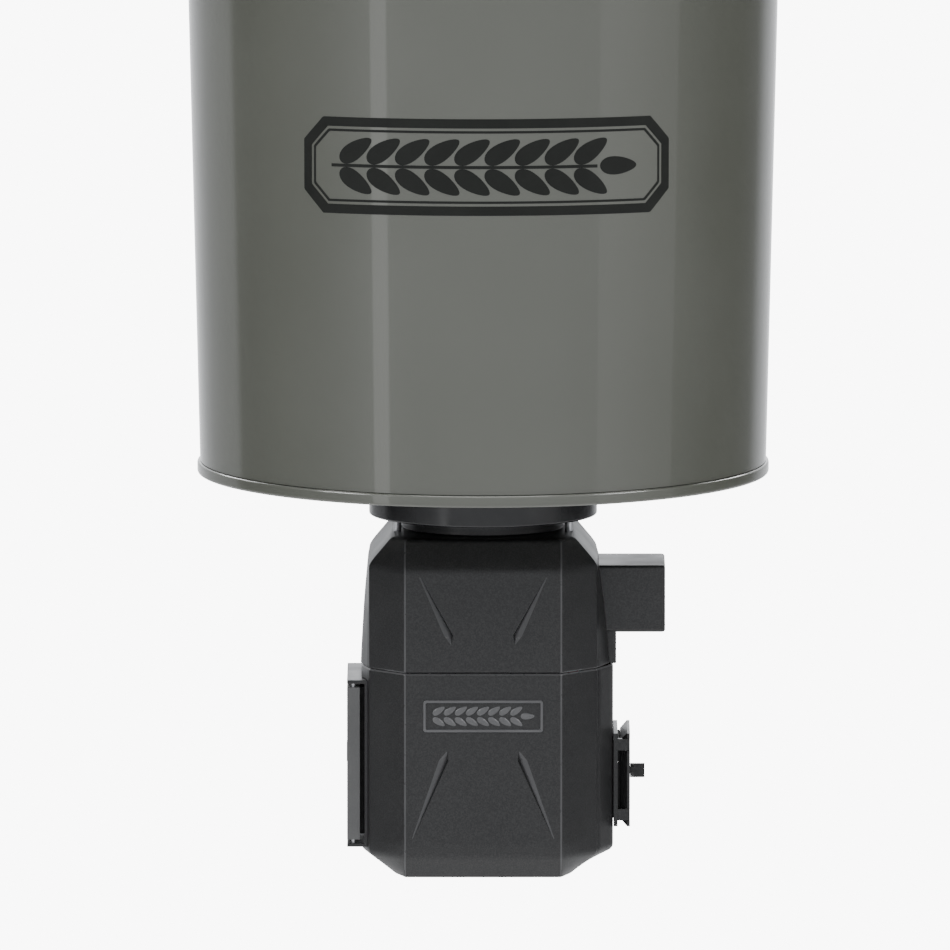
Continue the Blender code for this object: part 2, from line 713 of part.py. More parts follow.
def make_upper_housing():
    """Upper shell: shoulders, neck, chute window and screw bosses."""
    bottom = PARTING_Z + FIT / 2
    shell = loft(upper_rings(0.0, ROOF_Z, bottom))
    cut(shell, loft(upper_rings(SHELL_WALL, ROOF_Z - SHELL_WALL, bottom - OVERLAP)))
    neck_low = unit_z(ROOF_Z - 0.5 * SHELL_WALL)
    neck = upright(0, 0, neck_low, unit_z(ROOF_Z + NECK_RISE), NECK_RADIUS, 36)
    join(shell, neck)
    cut(shell, upright(0, 0, unit_z(ROOF_Z - 2 * SHELL_WALL), unit_z(ROOF_Z + 2 * NECK_RISE), NECK_RADIUS - SHELL_WALL, 36))
    for x, y in post_places():
        join(shell, upright(x, y, unit_z(ROOF_Z) - 12.0 * MM, unit_z(ROOF_Z) - 0.9 * SHELL_WALL, BOSS_RADIUS))
        cut(shell, upright(x, y, unit_z(ROOF_Z) - 10.0 * MM, unit_z(ROOF_Z) + OVERLAP, BOLT_RADIUS + FIT))
    foot = unit_z(bottom) + DECK_THICK + 2 * FIT
    for x, y in boss_places():
        boss = upright(x, y, foot, foot + 22.0 * MM, BOSS_RADIUS)
        wall = HALF_DEPTH - 0.6 * SHELL_WALL
        near, far = sorted((y, math.copysign(wall, y)))
        rib = block((x - 1.2 * MM, near, foot), (x + 1.2 * MM, far, foot + 22.0 * MM))
        join(shell, boss, rib)
        cut(shell, upright(x, y, foot - OVERLAP, foot + 20.0 * MM, BOLT_RADIUS + FIT))
    half = CHUTE_HALF_WIDTH + FIT
    window = block(
        (SIDE_HALF_WIDTH - 4 * SHELL_WALL, -half, unit_z(CHUTE_BOTTOM) - FIT),
        (CHUTE_REACH, half, unit_z(CHUTE_TOP) + FIT),
    )
    cut(shell, window)
    return name_part(shell, "upper_housing", SHELL_PLASTIC)


def make_lower_housing():
    """Lower shell: floor, screw columns, and the cut-outs of both side frames."""
    top = PARTING_Z - FIT / 2
    shell = loft(lower_rings(0.0, top, FLOOR_Z))
    cut(shell, loft(lower_rings(SHELL_WALL, top + OVERLAP, FLOOR_Z + SHELL_WALL)))
    shoulder = unit_z(top - COUNTERBORE_TOP)
    for x, y in boss_places():
        join(shell, upright(x, y, unit_z(FLOOR_Z) + 0.5 * SHELL_WALL, unit_z(top), COLUMN_RADIUS))
        cut(
            shell,
            upright(x, y, unit_z(FLOOR_Z) - OVERLAP, shoulder, HEAD_RADIUS + FIT),
            upright(x, y, shoulder - OVERLAP, unit_z(top) + OVERLAP, BOLT_RADIUS + FIT),
        )
    cut(
        shell,
        block(
            (-BATTERY_DOOR_FACE, -DOOR_FRAME_FRONT - FIT, unit_z(FRAME_FOOT) - FIT),
            (-DOOR_FRAME_FACE + 4 * SHELL_WALL, DOOR_FRAME_BACK + FIT, unit_z(FRAME_TOP) + FIT),
        ),
    )
    half_y, half_z = sleeve_half()
    centre = unit_z(TIMER_CENTRE_Z)
    cut(
        shell,
        block(
            (TIMER_BACK, -half_y - FIT, centre - half_z - FIT),
            (RIGHT_FACE + OVERLAP, half_y + FIT, centre + half_z + FIT),
        ),
    )
    return name_part(shell, "lower_housing", SHELL_PLASTIC)


def make_housing_screws():
    """Screws that rise in the columns and clamp the deck's ears between the shells."""
    shoulder = unit_z(PARTING_Z - FIT / 2 - COUNTERBORE_TOP)
    for number, (x, y) in enumerate(boss_places(), 1):
        head = upright(x, y, shoulder - FIT - HEAD_HEIGHT, shoulder - FIT, HEAD_RADIUS, 12)
        shank = upright(x, y, shoulder - FIT - OVERLAP, shoulder + SCREW_SHANK, BOLT_RADIUS, 12)
        name_part(join(head, shank), f"housing_screw_{number}", ZINC)


def make_base_pad():
    """Thin round pad under the floor."""
    top = unit_z(FLOOR_Z) - FIT / 3
    pad = upright(0, 0, top - 0.8 * MM, top, 14.0 * MM, 32)
    return name_part(pad, "base_pad", RUBBER)


# --- casting chamber ----------------------------------------------------------------------------------
def make_throat():
    """Cone and drop tube that sit in the neck and meter the feed on to the spinner."""
    lip_foot = unit_z(ROOF_Z + NECK_RISE) + FIT
    lip_top = lip_foot + THROAT_WALL
    mouth = NECK_RADIUS - SHELL_WALL - FIT
    cone_foot = unit_z(CHUTE_TOP) + 2.0 * MM
    tube_foot = unit_z(SPINNER_Z) + FIN_HEIGHT + 5.0 * MM
    wall = THROAT_WALL
    profile = [
        (NECK_RADIUS - 0.4 * MM, lip_top),
        (NECK_RADIUS - 0.4 * MM, lip_foot),
        (mouth, lip_foot),
        (mouth, lip_foot - 3.0 * MM),
        (THROAT_RADIUS + wall, cone_foot),
        (THROAT_RADIUS + wall, tube_foot),
        (THROAT_RADIUS, tube_foot),
        (THROAT_RADIUS, cone_foot + 0.5 * wall),
        (mouth - wall, lip_foot - 2.0 * MM),
        (mouth - wall, lip_top),
    ]
    return name_part(turned(profile, 36), "throat_funnel", INNER_PLASTIC)


def make_chute():
    """Rectangular discharge duct, with an apron over the housing's side below it."""
    low, high = unit_z(CHUTE_BOTTOM), unit_z(CHUTE_TOP)
    half = CHUTE_HALF_WIDTH
    start = DECK_RADIUS + 1.5 * MM
    chute = block((start, -half, low), (CHUTE_REACH, half, high))
    inner = CHUTE_WALL
    apron_face = SIDE_HALF_WIDTH + BULGE_RIGHT + 1.6 * MM
    apron_back = SIDE_HALF_WIDTH + BULGE_RIGHT - 1.5 * MM + FIT
    apron = block(
        (apron_back, -half, unit_z(PARTING_Z) + FIT),
        (apron_face, half, low + 0.5 * inner),
    )
    join(chute, apron)
    cut(
        chute,
        block(
            (start - OVERLAP, inner - half, low + inner),
            (CHUTE_REACH + OVERLAP, half - inner, high - inner),
        ),
    )
    return name_part(chute, "discharge_chute", SHELL_PLASTIC)


def make_deck():
    """Inverted pan that carries the motor, with four ears clamped at the parting line."""
    top = unit_z(DECK_TOP) - FIT
    foot = unit_z(PARTING_Z) + 0.5 * MM
    hole = HUB_RADIUS
    wall = 2.2 * MM
    profile = [
        (DECK_RADIUS, top),
        (DECK_RADIUS, foot),
        (DECK_RADIUS - wall, foot),
        (DECK_RADIUS - wall, top - DECK_THICK + FIT),
        (hole, top - DECK_THICK + FIT),
        (hole, top),
    ]
    deck = turned(profile)
    ear_low = unit_z(PARTING_Z) + FIT
    ear_high = unit_z(PARTING_Z) + FIT / 2 + DECK_THICK
    for x, y in boss_places():
        reach = 6.0 * MM
        xs = sorted((x - math.copysign(reach, x), x + math.copysign(reach, x)))
        ys = sorted((y - math.copysign(reach, y), y + math.copysign(reach, y)))
        join(deck, block((xs[0], ys[0], ear_low), (xs[1], ys[1], ear_high)))
        cut(deck, upright(x, y, ear_low - OVERLAP, ear_high + OVERLAP, BOLT_RADIUS + FIT))
    for x in motor_screw_places():
        cut(deck, upright(x, 0, top - 2 * DECK_THICK, top + OVERLAP, 1.2 * MM + FIT, 12))
    return name_part(deck, "motor_deck", INNER_PLASTIC)


def motor_screw_places():
    return [-0.7 * MOTOR_RADIUS, 0.7 * MOTOR_RADIUS]


def make_motor():
    """Small direct-current motor under the deck, with a bore for its shaft."""
    top = unit_z(MOTOR_TOP)
    can = upright(0, 0, top - MOTOR_LENGTH, top, MOTOR_RADIUS, 32)
    boss = upright(0, 0, top - OVERLAP, top + 2.0 * MM, HUB_RADIUS - 2.0 * MM, 20)
    tail = upright(0, 0, top - MOTOR_LENGTH - 1.0 * MM, top - MOTOR_LENGTH + OVERLAP, 4.0 * MM, 20)
    join(can, boss, tail)
    cut(can, upright(0, 0, top - 12.0 * MM, top + 4.0 * MM, SHAFT_RADIUS + RUNNING, 16))
    for number, x in enumerate(motor_screw_places(), 1):
        cut(can, upright(x, 0, top - 5.0 * MM, top + OVERLAP, 1.2 * MM + FIT, 12))
        deck_top = unit_z(DECK_TOP) - FIT
        head = upright(x, 0, deck_top + FIT, deck_top + FIT + 1.2 * MM, 2.2 * MM, 12)
        shank = upright(x, 0, top - 4.0 * MM, deck_top + FIT + 0.6 * MM, 1.2 * MM, 12)
        name_part(join(head, shank), f"motor_screw_{number}", ZINC)
    return name_part(can, "motor", ZINC)


def make_shroud():
    """Wall round the spinner, open only towards the chute."""
    low, high = unit_z(DECK_TOP), unit_z(SPINNER_Z) + FIN_HEIGHT + 6.0 * MM
    profile = [
        (SHROUD_RADIUS, high),
        (SHROUD_RADIUS, low),
        (SHROUD_RADIUS - SHROUD_WALL, low),
        (SHROUD_RADIUS - SHROUD_WALL, high),
    ]
    shroud = turned(profile, 40)
    gap = CHUTE_HALF_WIDTH - CHUTE_WALL
    cut(shroud, block((0.3 * SHROUD_RADIUS, -gap, low - OVERLAP), (2 * SHROUD_RADIUS, gap, high + OVERLAP)))
    return name_part(shroud, "spinner_shroud", INNER_PLASTIC)


def make_spinner():
    """Finned plate on a flanged hub, on the motor's shaft."""
    z = unit_z(SPINNER_Z)
    hole = HUB_RADIUS + FIT
    profile = [
        (SPINNER_RADIUS, z + SPINNER_THICK),
        (SPINNER_RADIUS, z),
        (hole, z),
        (hole, z + SPINNER_THICK),
    ]
    plate = turned(profile, 36)
    inner, outer = HUB_RADIUS + 3.0 * MM, SPINNER_RADIUS - 2.0 * MM
    for i in range(FIN_COUNT // 2):
        across = FIN_THICK / 2
        for start, end in ((inner, outer), (-outer, -inner)):
            corners = ((start, -across), (end, across)) if i == 0 else ((-across, start), (across, end))
            fin = block((*corners[0], z + 0.5 * SPINNER_THICK), (*corners[1], z + SPINNER_THICK + FIN_HEIGHT))
            join(plate, fin)
    name_part(plate, "spinner_plate", ZINC)
    foot = unit_z(MOTOR_TOP) + 3.0 * MM
    brim = HUB_RADIUS + 2.5 * MM
    top = z + SPINNER_THICK + 8.0 * MM
    bore = SHAFT_RADIUS + RUNNING / 3
    low_hub = z - FIT - 1.5 * MM
    hub_profile = [
        (0.0, top),
        (HUB_RADIUS, top),
        (HUB_RADIUS, z - FIT),
        (brim, z - FIT),
        (brim, low_hub),
        (HUB_RADIUS - 1.5 * MM, low_hub),
        (HUB_RADIUS - 1.5 * MM, foot),
        (bore, foot),
        (bore, top - 2.0 * MM),
        (0.0, top - 2.0 * MM),
    ]
    name_part(turned(hub_profile, 24, closed=False), "spinner_hub", ZINC)
    shaft = upright(0, 0, unit_z(MOTOR_TOP) - 11.0 * MM, top - 2.5 * MM, SHAFT_RADIUS, 16)
    name_part(shaft, "motor_shaft", ZINC)


# --- battery side ---------------------------------------------------------------------------------------
def battery_span_y():
    return BATTERY_CENTRE_Y - BATTERY[1] / 2, BATTERY_CENTRE_Y + BATTERY[1] / 2


def battery_left_x():
    return TIMER_BACK - 5.5 * MM - BATTERY[0]


def terminal_places():
    low, high = battery_span_y()
    inset = 10.0 * MM
    return [low + inset, high - inset]


def terminal_z():
    return unit_z(BATTERY_TOP) - 12.0 * MM


def make_battery():
    """Sealed six volt battery on its side, with its tab terminals towards the door."""
    left = battery_left_x()
    near, far = battery_span_y()
    case = block((left, near, unit_z(BATTERY_FOOT)), (left + BATTERY[0], far, unit_z(BATTERY_TOP)))
    for y in terminal_places():
        tab = block(
            (left - 5.0 * MM, y - 2.4 * MM, terminal_z() - 0.5 * MM),
            (left + OVERLAP, y + 2.4 * MM, terminal_z() + 0.5 * MM),
        )
        join(case, tab)
    return name_part(case, "battery", BATTERY_CASE)


def make_battery_tray():
    """Cradle on four legs that holds the battery level with its door."""
    left = battery_left_x()
    near, far = battery_span_y()
    floor_top = unit_z(BATTERY_FOOT) - FIT
    thick = 1.4 * MM
    side = 2.0 * MM
    tray = block(
        (left + 2.0 * MM, near - FIT - side, floor_top - thick),
        (left + BATTERY[0], far + FIT + side, floor_top + 18.0 * MM),
    )
    cut(
        tray,
        block(
            (left, near - FIT, floor_top),
            (left + BATTERY[0] + OVERLAP, far + FIT, floor_top + 30.0 * MM),
        ),
    )
    foot = unit_z(FLOOR_Z + SHELL_WALL) + FIT
    for x in (left + 24.0 * MM, left + BATTERY[0] - 24.0 * MM):
        for y in (near + 8.0 * MM, far - 8.0 * MM):
            join(tray, upright(x, y, foot, floor_top - 0.5 * thick, 3.5 * MM, 12))
    return name_part(tray, "battery_tray", INNER_PLASTIC)


def hinge_place():
    """Hinge line of the battery door, near its front edge."""
    return -(BATTERY_DOOR_FACE - 0.5 * BATTERY_DOOR_THICK), -(DOOR_FRAME_FRONT - 3.4 * MM)


def battery_opening():
    """Opening in the frame that the battery passes through: (low y, high y, low z, high z)."""
    near, far = battery_span_y()
    margin = 0.6 * MM
    return near - margin, far + margin, unit_z(OPENING_FOOT), unit_z(OPENING_TOP)


def latch_z():
    return (unit_z(BATTERY_DOOR_TOP) + unit_z(BATTERY_DOOR_FOOT)) / 2


def make_battery_frame():
    """Frame round the battery opening, with a lip above and below the door and a latch keeper."""
    face, back = -DOOR_FRAME_FACE, -(DOOR_FRAME_FACE - DOOR_FRAME_DEPTH)
    front_y, back_y = -DOOR_FRAME_FRONT, DOOR_FRAME_BACK
    low, high = unit_z(FRAME_FOOT), unit_z(FRAME_TOP)
    frame = block((face, front_y, low), (back, back_y, high))
    near, far, foot, top = battery_opening()
    cut(frame, block((face - OVERLAP, near, foot), (back + OVERLAP, far, top)))
    for a, b in ((low, low + DOOR_LIP), (high - DOOR_LIP, high)):
        join(frame, block((-BATTERY_DOOR_FACE, front_y, a), (face + OVERLAP, back_y, b)))
    keeper_y = BATTERY_DOOR_BACK + 0.8 * MM
    mid = latch_z()
    keeper = block(
        (-BATTERY_DOOR_FACE + 1.0 * MM, keeper_y, mid - 6.0 * MM),
        (face + OVERLAP, back_y, mid + 6.0 * MM),
    )
    join(frame, keeper)
    near_x, far_x = tongue_span_x()
    cut(
        frame,
        block(
            (near_x - FIT, keeper_y - OVERLAP, mid - 3.0 * MM - FIT),
            (far_x + FIT, back_y + OVERLAP, mid + 3.0 * MM + FIT),
        ),
    )
    x, y = hinge_place()
    cut(frame, upright(x, y, low + 0.4 * DOOR_LIP, high - 0.4 * DOOR_LIP, PIN_RADIUS + FIT, 12))
    return name_part(frame, "battery_door_frame", SHELL_PLASTIC)


def tongue_span_x():
    """The latch tongue's thickness, just inside the door's skin."""
    outer = -BATTERY_DOOR_FACE + SKIN + FIT
    return outer, outer + 2.0 * MM


def make_battery_door():
    """Hollow door on a vertical pin, with a window for the latch's thumb pad."""
    outer, inner = -BATTERY_DOOR_FACE, -(BATTERY_DOOR_FACE - BATTERY_DOOR_THICK)
    front_y, back_y = -(DOOR_FRAME_FRONT - 0.6 * MM), BATTERY_DOOR_BACK
    low, high = unit_z(BATTERY_DOOR_FOOT), unit_z(BATTERY_DOOR_TOP)
    door = block((outer, front_y, low), (inner, back_y, high))
    rim = 5.6 * MM
    hinge_rim = 7.0 * MM
    cut(
        door,
        block(
            (outer + SKIN, front_y + hinge_rim, low + rim),
            (inner + OVERLAP, back_y - SKIN, high - rim),
        ),
    )
    x, y = hinge_place()
    cut(door, upright(x, y, low - OVERLAP, high + OVERLAP, PIN_RADIUS + FIT, 12))
    mid = latch_z()
    near_x, far_x = tongue_span_x()
    slot = block(
        (near_x - FIT, back_y - 2 * SKIN, mid - 3.0 * MM - FIT),
        (far_x + FIT, back_y + OVERLAP, mid + 3.0 * MM + FIT),
    )
    window = block(
        (outer - OVERLAP, latch_pad_y() - 4.0 * MM - FIT, mid - 5.0 * MM - FIT),
        (outer + SKIN + OVERLAP, latch_pad_y() + 4.0 * MM + LATCH_TRAVEL + FIT, mid + 5.0 * MM + FIT),
    )
    cut(door, slot, window)
    return name_part(door, "battery_door", SHELL_PLASTIC)


LATCH_TRAVEL = 3.5 * MM


def latch_pad_y():
    return BATTERY_DOOR_BACK - 14.0 * MM


def make_battery_latch():
    """Sliding latch: a thumb pad in the window and a tongue behind the skin, shown drawn back."""
    near_x, far_x = tongue_span_x()
    mid = latch_z()
    pad_y = latch_pad_y()
    body = block(
        (near_x, pad_y - 5.0 * MM, mid - 6.0 * MM),
        (far_x, BATTERY_DOOR_BACK - SKIN - LATCH_TRAVEL - 2 * FIT, mid + 6.0 * MM),
    )
    tongue = block(
        (near_x, pad_y, mid - 3.0 * MM),
        (far_x, BATTERY_DOOR_BACK - FIT, mid + 3.0 * MM),
    )
    pad = block(
        (-BATTERY_DOOR_FACE - 0.4 * MM, pad_y - 4.0 * MM, mid - 5.0 * MM),
        (near_x + OVERLAP, pad_y + 4.0 * MM, mid + 5.0 * MM),
    )
    return name_part(join(body, tongue, pad), "battery_latch", SHELL_PLASTIC)


def make_battery_door_parts():
    make_battery_frame()
    make_battery_door()
    make_battery_latch()
    inner = -(BATTERY_DOOR_FACE - BATTERY_DOOR_THICK)
    near, far, foot, top = battery_opening()
    clear = 0.3 * MM
    wide = clear + 2.2 * MM
    outer_x, inner_x = inner + FIT, -DOOR_FRAME_FACE - FIT
    gasket = block((outer_x, near - wide, foot - wide), (inner_x, far + wide, top + wide))
    cut(
        gasket,
        block(
            (outer_x - OVERLAP, near - clear, foot - clear),
            (inner_x + OVERLAP, far + clear, top + clear),
        ),
    )
    name_part(gasket, "battery_door_gasket", RUBBER)
    x, y = hinge_place()
    low = unit_z(FRAME_FOOT) + 0.5 * DOOR_LIP
    high = unit_z(FRAME_TOP) - 0.5 * DOOR_LIP
    name_part(upright(x, y, low, high, PIN_RADIUS, 12), "battery_door_pin", ZINC)


# --- timer side -----------------------------------------------------------------------------------------
def sleeve_half():
    """Half width and half height of the sleeve that holds the timer."""
    return (
        TIMER_SIZE[0] / 2 - TIMER_SLEEVE_INSET,
        TIMER_SIZE[1] / 2 - TIMER_SLEEVE_INSET,
    )


def side_box(x_low, x_high, half_y, half_z, y=0.0):
    """A box centred on the timer's height."""
    z = unit_z(TIMER_CENTRE_Z)
    return block((x_low, y - half_y, z - half_z), (x_high, y + half_y, z + half_z))


def timer_pin_place():
    """Hinge line of the timer door, inside its flared front edge."""
    return TIMER_SLAB_X - 0.5 * MM, -(TIMER_SIZE[0] / 2 - 2.6 * MM)


def ear_spans():
    """Heights of the two hinge ears on the timer frame."""
    z = unit_z(TIMER_CENTRE_Z)
    half = TIMER_SIZE[1] / 2
    near, far = half - 3.0 * MM, half - 9.0 * MM
    return [(z - near, z - far), (z + far, z + near)]


def make_timer_frame():
    """Flanged sleeve in the housing's side, with hinge ears and a keeper for the knob's cam."""
    half_y, half_z = sleeve_half()
    frame = side_box(RIGHT_FACE + FIT, TIMER_FLANGE_FACE, TIMER_SIZE[0] / 2, TIMER_SIZE[1] / 2)
    join(frame, side_box(TIMER_BACK + FIT, RIGHT_FACE + FIT + OVERLAP, half_y, half_z))
    wall = 2.0 * MM
    cut(frame, side_box(TIMER_BACK - OVERLAP, TIMER_FACE, half_y - wall, half_z - wall))
    pin_x, pin_y = timer_pin_place()
    for low, high in ear_spans():
        ear = block(
            (TIMER_FLANGE_FACE - OVERLAP, pin_y - 2.0 * MM, low),
            (pin_x + 1.6 * MM, pin_y + 2.0 * MM, high),
        )
        join(frame, ear)
    cut(frame, upright(pin_x, pin_y, ear_spans()[0][0] - OVERLAP, ear_spans()[1][1] + OVERLAP, 0.8 * MM + FIT, 12))
    z = unit_z(TIMER_CENTRE_Z)
    post_y = half_y - wall - 0.2 * MM
    lip_low, lip_high = cam_span_x()[1] + FIT, cam_span_x()[1] + FIT + 1.1 * MM
    post = block((TIMER_FLANGE_FACE - OVERLAP, post_y - 2.0 * MM, z - 3.0 * MM), (lip_high, post_y, z + 3.0 * MM))
    foot = block((TIMER_FLANGE_FACE - TIMER_FLANGE, post_y - 2.0 * MM, z - 3.0 * MM),
                 (TIMER_FLANGE_FACE - 0.2 * MM, half_y, z + 3.0 * MM))
    lip = block((lip_low, KNOB_Y + 3.0 * MM, z - 3.0 * MM), (lip_high, post_y - OVERLAP, z + 3.0 * MM))
    join(frame, foot, post, lip)
    return name_part(frame, "timer_frame", SHELL_PLASTIC)


def cam_span_x():
    return TIMER_NECK_X + 0.6 * MM, TIMER_NECK_X + 2.0 * MM


def make_timer_door():
    """Cover with a flared edge, hollow behind, hinged at its front edge."""
    half_y, half_z = TIMER_SIZE[0] / 2, TIMER_SIZE[1] / 2
    z = unit_z(TIMER_CENTRE_Z)
    flare = TIMER_DOOR_FLARE

    def ring(x, inset):
        a, b = half_y - inset, half_z - inset
        return [(x, -a, z - b), (x, a, z - b), (x, a, z + b), (x, -a, z + b)]

    door = loft([ring(TIMER_NECK_X, flare), ring(TIMER_SLAB_X, 0.0), ring(TIMER_FACE, 0.0)])
    skin = 1.2 * MM
    cut(door, side_box(TIMER_NECK_X - OVERLAP, TIMER_FACE - skin, half_y - flare - SKIN, half_z - flare - SKIN))
    pin_x, pin_y = timer_pin_place()
    for low, high in ear_spans():
        notch = block(
            (TIMER_NECK_X - OVERLAP, -half_y - OVERLAP, low - FIT),
            (TIMER_FACE + OVERLAP, pin_y + 4.0 * MM, high + FIT),
        )
        cut(door, notch)
    cut(door, upright(pin_x, pin_y, z - half_z - OVERLAP, z + half_z + OVERLAP, 0.8 * MM + FIT, 12))
    cut(door, rod((TIMER_FACE, KNOB_Y, z), 2.0 * MM + RUNNING, 4 * skin, "X", 16))
    return name_part(door, "timer_door", SHELL_PLASTIC)


def make_timer_knob():
    """Quarter-turn knob through the door, with a cam behind it, shown turned clear of its keeper."""
    z = unit_z(TIMER_CENTRE_Z)
    cam_low, cam_high = cam_span_x()
    start = TIMER_FACE + FIT
    knob = rod((start + KNOB_LENGTH / 2, KNOB_Y, z), KNOB_RADIUS, KNOB_LENGTH, "X", 24)
    stem = rod(((cam_low + start + OVERLAP) / 2, KNOB_Y, z), 2.0 * MM, start + OVERLAP - cam_low, "X", 16)
    cam = block((cam_low, KNOB_Y - 2.0 * MM, z), (cam_high, KNOB_Y + 2.0 * MM, z + CAM_LENGTH))
    join(knob, stem, cam)
    for side in (-1, 1):
        low, high = sorted((side * 1.4 * MM, side * 2 * KNOB_RADIUS))
        grip = block((start + 2.0 * MM, KNOB_Y + low, z - 2 * KNOB_RADIUS), (start + 2 * KNOB_LENGTH, KNOB_Y + high, z + 2 * KNOB_RADIUS))
        cut(knob, grip)
    return name_part(knob, "timer_knob", SHELL_PLASTIC)


def make_timer_door_parts():
    make_timer_frame()
    make_timer_door()
    make_timer_knob()
    half_y, half_z = sleeve_half()
    ring_y, ring_z = half_y - 0.9 * MM, half_z - 0.3 * MM
    low, high = TIMER_FLANGE_FACE + FIT, TIMER_FLANGE_FACE + FIT + TIMER_SEAL
    seal = side_box(low, high, ring_y, ring_z)
    cut(seal, side_box(low - OVERLAP, high + OVERLAP, ring_y - 1.2 * MM, ring_z - 1.6 * MM))
    z = unit_z(TIMER_CENTRE_Z)
    cut(seal, block((low - OVERLAP, KNOB_Y, z - 3.4 * MM), (high + OVERLAP, half_y + OVERLAP, z + 3.4 * MM)))
    name_part(seal, "timer_door_gasket", RUBBER)
    pin_x, pin_y = timer_pin_place()
    spans = ear_spans()
    name_part(upright(pin_x, pin_y, spans[0][0], spans[1][1], 0.8 * MM, 12), "timer_door_pin", ZINC)


def button_places():
    z = unit_z(TIMER_CENTRE_Z) - 10.0 * MM
    return {
        "button_down": (-BUTTON_SPACING, z),
        "button_set": (0.0, z),
        "button_up": (BUTTON_SPACING, z),
    }


def make_timer():
    """Faceplate with a display and three buttons, over a circuit board."""
    half_y, half_z = sleeve_half()
    inner_y, inner_z = half_y - 2.0 * MM - FIT, half_z - 2.0 * MM - FIT
    face = RIGHT_FACE - 2.5 * MM
    plate = side_box(face - 1.5 * MM, face, inner_y, inner_z)
    z = unit_z(TIMER_CENTRE_Z) + 7.0 * MM
    window_y, window_z = 13.0 * MM, 6.5 * MM
    cut(plate, block((face - 4 * MM, -window_y, z - window_z), (face + OVERLAP, window_y, z + window_z)))
    glass = block(
        (face - 1.2 * MM, FIT - window_y, z - window_z + FIT),
        (face + 0.3 * MM, window_y - FIT, z + window_z - FIT),
    )
    name_part(glass, "display_window", SCREEN)
    for name, (y, height) in button_places().items():
        cut(plate, rod((face, y, height), BUTTON_RADIUS + FIT, 6 * MM, "X", 16))
        cap = rod((face, y, height), BUTTON_RADIUS, 5.0 * MM, "X", 16)
        name_part(cap, name, BUTTON_GREY)
    name_part(plate, "timer_faceplate", INNER_PLASTIC)
    board = side_box(TIMER_BACK + 2.0 * MM, TIMER_BACK + 3.6 * MM, inner_y - FIT, inner_z - FIT)
    name_part(board, "circuit_board", BOARD_GREEN)


def make_battery_leads():
    """Leads from the battery's tabs, round its back corner, to the circuit board."""
    left = battery_left_x()
    far = battery_span_y()[1]
    board = TIMER_BACK + 2.0 * MM - FIT
    z_tab = terminal_z() + 0.5 * MM + FIT + LEAD_RADIUS
    z_board = unit_z(TIMER_CENTRE_Z) + 4.0 * MM
    x = left - 2.0 * MM
    for i, (label, tab_y) in enumerate(zip(("negative", "positive"), terminal_places())):
        lane = far + 5.5 * MM + 3.0 * MM * i
        height = z_tab + 3.0 * MM * (1 - i)
        end_y = 8.0 * MM + 3.0 * MM * i
        points = [
            (x, tab_y, z_tab),
            (x, tab_y + 4.0 * MM, height),
            (x, far + 3.0 * MM, height),
            (left + 8.0 * MM, lane, height - 2.0 * MM),
            (board - 5.0 * MM, lane, z_board + 3.0 * MM * i),
            (board - 3.0 * MM, end_y, z_board + 3.0 * MM * i),
            (board, end_y, z_board + 3.0 * MM * i),
        ]
        finish = RED_WIRE if label == "positive" else BLACK_WIRE
        name_part(wire(eased(points, 4.0 * MM), LEAD_RADIUS, 1), f"battery_lead_{label}", finish)


def make_motor_leads():
    """Leads from the motor's side, over the battery's end, to the circuit board."""
    end = battery_left_x() + BATTERY[0]
    board = TIMER_BACK + 2.0 * MM - FIT
    high = unit_z(MOTOR_TOP) - MOTOR_LENGTH + 4.0 * MM
    drop_x = end + 2.6 * MM
    z_board = unit_z(TIMER_CENTRE_Z) + 12.0 * MM
    for i, label in enumerate(("negative", "positive")):
        side = (2 * i - 1) * 4.0 * MM
        points = [
            (MOTOR_RADIUS + FIT, side, high),
            (drop_x, side, high),
            (drop_x, side, z_board),
            (board, side, z_board),
        ]
        finish = RED_WIRE if label == "positive" else BLACK_WIRE
        name_part(wire(eased(points, 2.0 * MM), LEAD_RADIUS, 1), f"motor_lead_{label}", finish)


# --- pivots ---------------------------------------------------------------------------------------
LID_PARTS = ["lid", "lid_gasket"]
SPINNER_PARTS = ["spinner_plate", "spinner_hub", "motor_shaft"]
BATTERY_DOOR_PARTS = ["battery_door", "battery_door_gasket"]
HOPPER_STARTS = ("hopper_", "bail_ear", "ear_rivet", "outlet_flange", "flange_bolt")


def pivot(name, place, above=None):
    """An empty on a joint's axis, under the pivot of the body that carries it."""
    made = bpy.data.objects.new(name, None)
    MODEL.objects.link(made)
    made.location = place
    if above is not None:
        bpy.context.view_layer.update()
        made.parent = above
        made.matrix_parent_inverse = above.matrix_world.inverted()
    bpy.context.view_layer.update()
    return made


def carry(holder, names):
    """Hangs parts on a pivot, leaving them where they are."""
    for name in names:
        obj = bpy.data.objects[name]
        obj.parent = holder
        obj.matrix_parent_inverse = holder.matrix_world.inverted()


